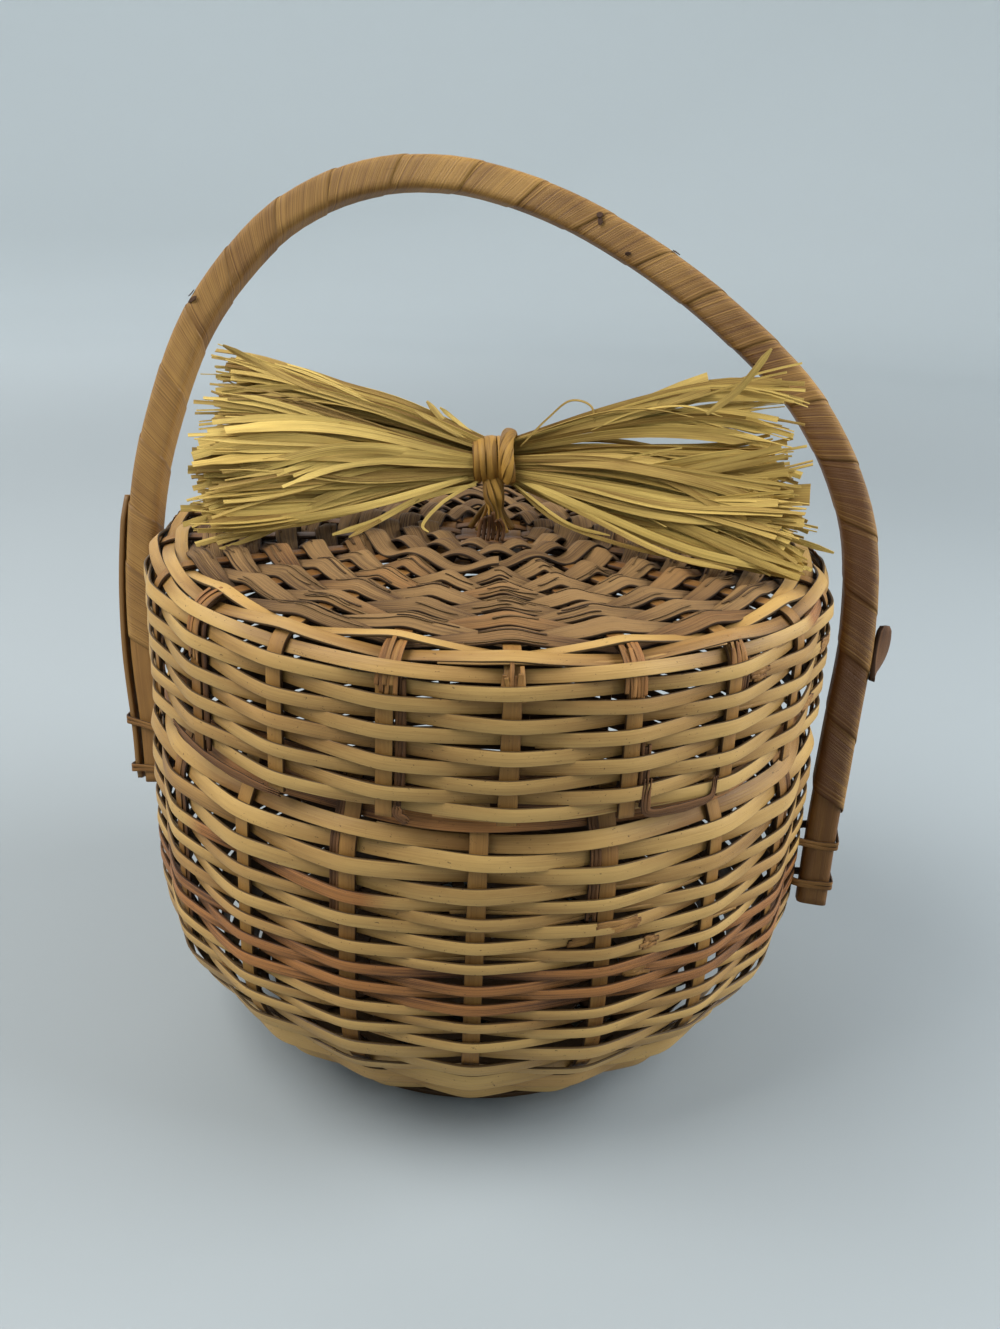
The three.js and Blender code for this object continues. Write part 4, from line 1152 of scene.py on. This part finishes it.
def add_binding():
    """Raffia wound round the waist, with a twisted knot over its top to the front."""
    piece = Piece("bow_binding_raffia")
    turn = np.arange(0, BINDING_TURNS, 1 / 40)
    angle = turn * FULL_TURN
    for strand in range(3):
        across = (turn - 2.2) * 2.0 + (strand - 1) * 0.9 + 0.5 * np.sin(angle * 0.6 + 2.1 * strand)
        radius = WAIST_RADIUS + 0.4 + 0.22 * strand + 0.2 * np.sin(angle * 1.7 + strand)
        place = columns(across, radius * np.cos(angle), KNOT_HEIGHT + radius * np.sin(angle))
        facing = columns(0, np.cos(angle), np.sin(angle))
        width = 1.7 + 0.5 * np.sin(angle * 0.7 + strand)
        piece.add_strip(place, facing, width, 0.3, 0.2 + 0.25 * strand, 0.2, 200.0 * strand)
    angle = np.linspace(0.1, -0.34, 60) * FULL_TURN
    cos, sin = np.cos(angle), np.sin(angle)
    for strand in range(4):
        twist = angle * 2.6 + strand * FULL_TURN / 4
        radius = WAIST_RADIUS + 1.7 + 0.9 * np.cos(twist)
        across = 3.2 + 1.3 * np.sin(twist) + 0.5 * np.sin(angle * 2)
        place = columns(across, radius * sin, KNOT_HEIGHT + radius * cos)
        facing = columns(np.sin(twist), np.cos(twist) * sin, np.cos(twist) * cos)
        piece.add_strip(place, facing, 2.1, 0.4, 0.25 + 0.25 * strand, 0.3, 300.0 * strand)
    piece.make(KNOT, "lid", "raffia", "bow_binding")


def add_tie():
    """Strands from the knot down into the lid."""
    piece = Piece("bow_tie_raffia")
    for strand in range(7):
        turn = strand * FULL_TURN / 7
        line = curve_through([
            (2.2 * math.cos(turn), -3.2 + 0.8 * math.sin(turn), KNOT_HEIGHT - 3.0),
            (2.0 * math.cos(turn + 1), -4.4 + 1.2 * math.sin(turn + 1), KNOT_HEIGHT - 7.5),
            ((strand - 3) * 0.7, -4.4 + 0.8 * math.sin(turn + 2), KNOT_HEIGHT - 11.0),
            ((strand - 3) * 1.7, -4.6 - 0.9 * math.sin(turn * 2), KNOT_HEIGHT - 15.4 - 0.4 * (strand % 3)),
        ], 24)
        facing = [math.cos(turn), -1.0 + math.sin(turn), 0.1]
        piece.add_strip(line, facing, 1.6, 0.35, 0.35 + 0.3 * (strand % 3), 0.2, 60.0 * strand)
    piece.make(KNOT, "lid", "raffia", "bow_tie")


add_binding()
add_tie()


# Stage: pale floor, soft light, and the camera of the photograph
def make_floor():
    g = Graph("floor_paint")
    x, y, _ = g.split(g.nodes.new("ShaderNodeNewGeometry").outputs["Position"])
    away = g.math("SQRT", g.math("ADD", g.times(x, x), g.times(y, y)))
    # Floor darker near the basket and lighter far off: painted shade and light on the floor
    colour = g.mix(g.span(away, *FLOOR_FADE), srgb(FLOOR_NEAR), srgb(FLOOR_FAR))
    g.put(g.shader.inputs["Base Color"], colour)
    g.shader.inputs["Roughness"].default_value = 0.6
    angle = np.arange(FLOOR_SIDES) * FULL_TURN / FLOOR_SIDES
    points = [(r * math.cos(turn), r * math.sin(turn), z) for r, z in FLOOR_OUTLINE for turn in angle]
    faces = [tuple(range(FLOOR_SIDES))]
    for ring in range(len(FLOOR_OUTLINE) - 1):
        low = ring * FLOOR_SIDES
        high = low + FLOOR_SIDES
        for side in range(FLOOR_SIDES):
            after = (side + 1) % FLOOR_SIDES
            faces.append((low + side, low + after, high + after, high + side))
    mesh = bpy.data.meshes.new("floor")
    mesh.from_pydata(points, [], faces)
    mesh.polygons.foreach_set("use_smooth", np.ones(len(faces), bool))
    mesh.materials.append(g.material)
    floor = add_object("floor", mesh)


def aim(made, right, top, back, place):
    """Place a lamp or camera that looks the other way from back."""
    made.matrix_world = Matrix([*columns(right, top, back, place).tolist(), [0, 0, 0, 1]])


def add_lamp(name, place, target_height, size, power, colour):
    data = bpy.data.lights.new(name, "AREA")
    data.size = size
    data.energy = power
    data.color = colour
    place = np.array(place)
    back = unit(place - np.array([0, 0, target_height]))
    right = unit(np.cross([0.0, 0.02, 1.0], back))
    aim(add_object(name, data), right, np.cross(back, right), back, place)


def make_camera():
    forward = np.array([
        math.sin(CAMERA_YAW) * math.cos(CAMERA_PITCH),
        math.cos(CAMERA_YAW) * math.cos(CAMERA_PITCH),
        -math.sin(CAMERA_PITCH),
    ])
    level = np.array([math.cos(CAMERA_YAW), -math.sin(CAMERA_YAW), 0.0])
    above = np.cross(level, forward)
    right = level * math.cos(CAMERA_ROLL) + above * math.sin(CAMERA_ROLL)
    top = -level * math.sin(CAMERA_ROLL) + above * math.cos(CAMERA_ROLL)
    data = bpy.data.cameras.new("camera")
    data.sensor_width = SENSOR_SIZE
    data.lens = SENSOR_SIZE * FOCAL_SHARE
    data.clip_start = 0.01
    camera = add_object("camera", data)
    aim(camera, right, top, -forward, np.array(CAMERA_PLACE))
    bpy.context.scene.camera = camera


make_floor()
for lamp in LAMPS:
    add_lamp(*lamp)
world = bpy.data.worlds.new("studio")
bpy.context.scene.world = world
world.use_nodes = True
world.node_tree.nodes["Background"].inputs["Color"].default_value = WORLD_COLOUR
world.node_tree.nodes["Background"].inputs["Strength"].default_value = WORLD_STRENGTH
make_camera()
bpy.context.scene.view_settings.view_transform = "Standard"
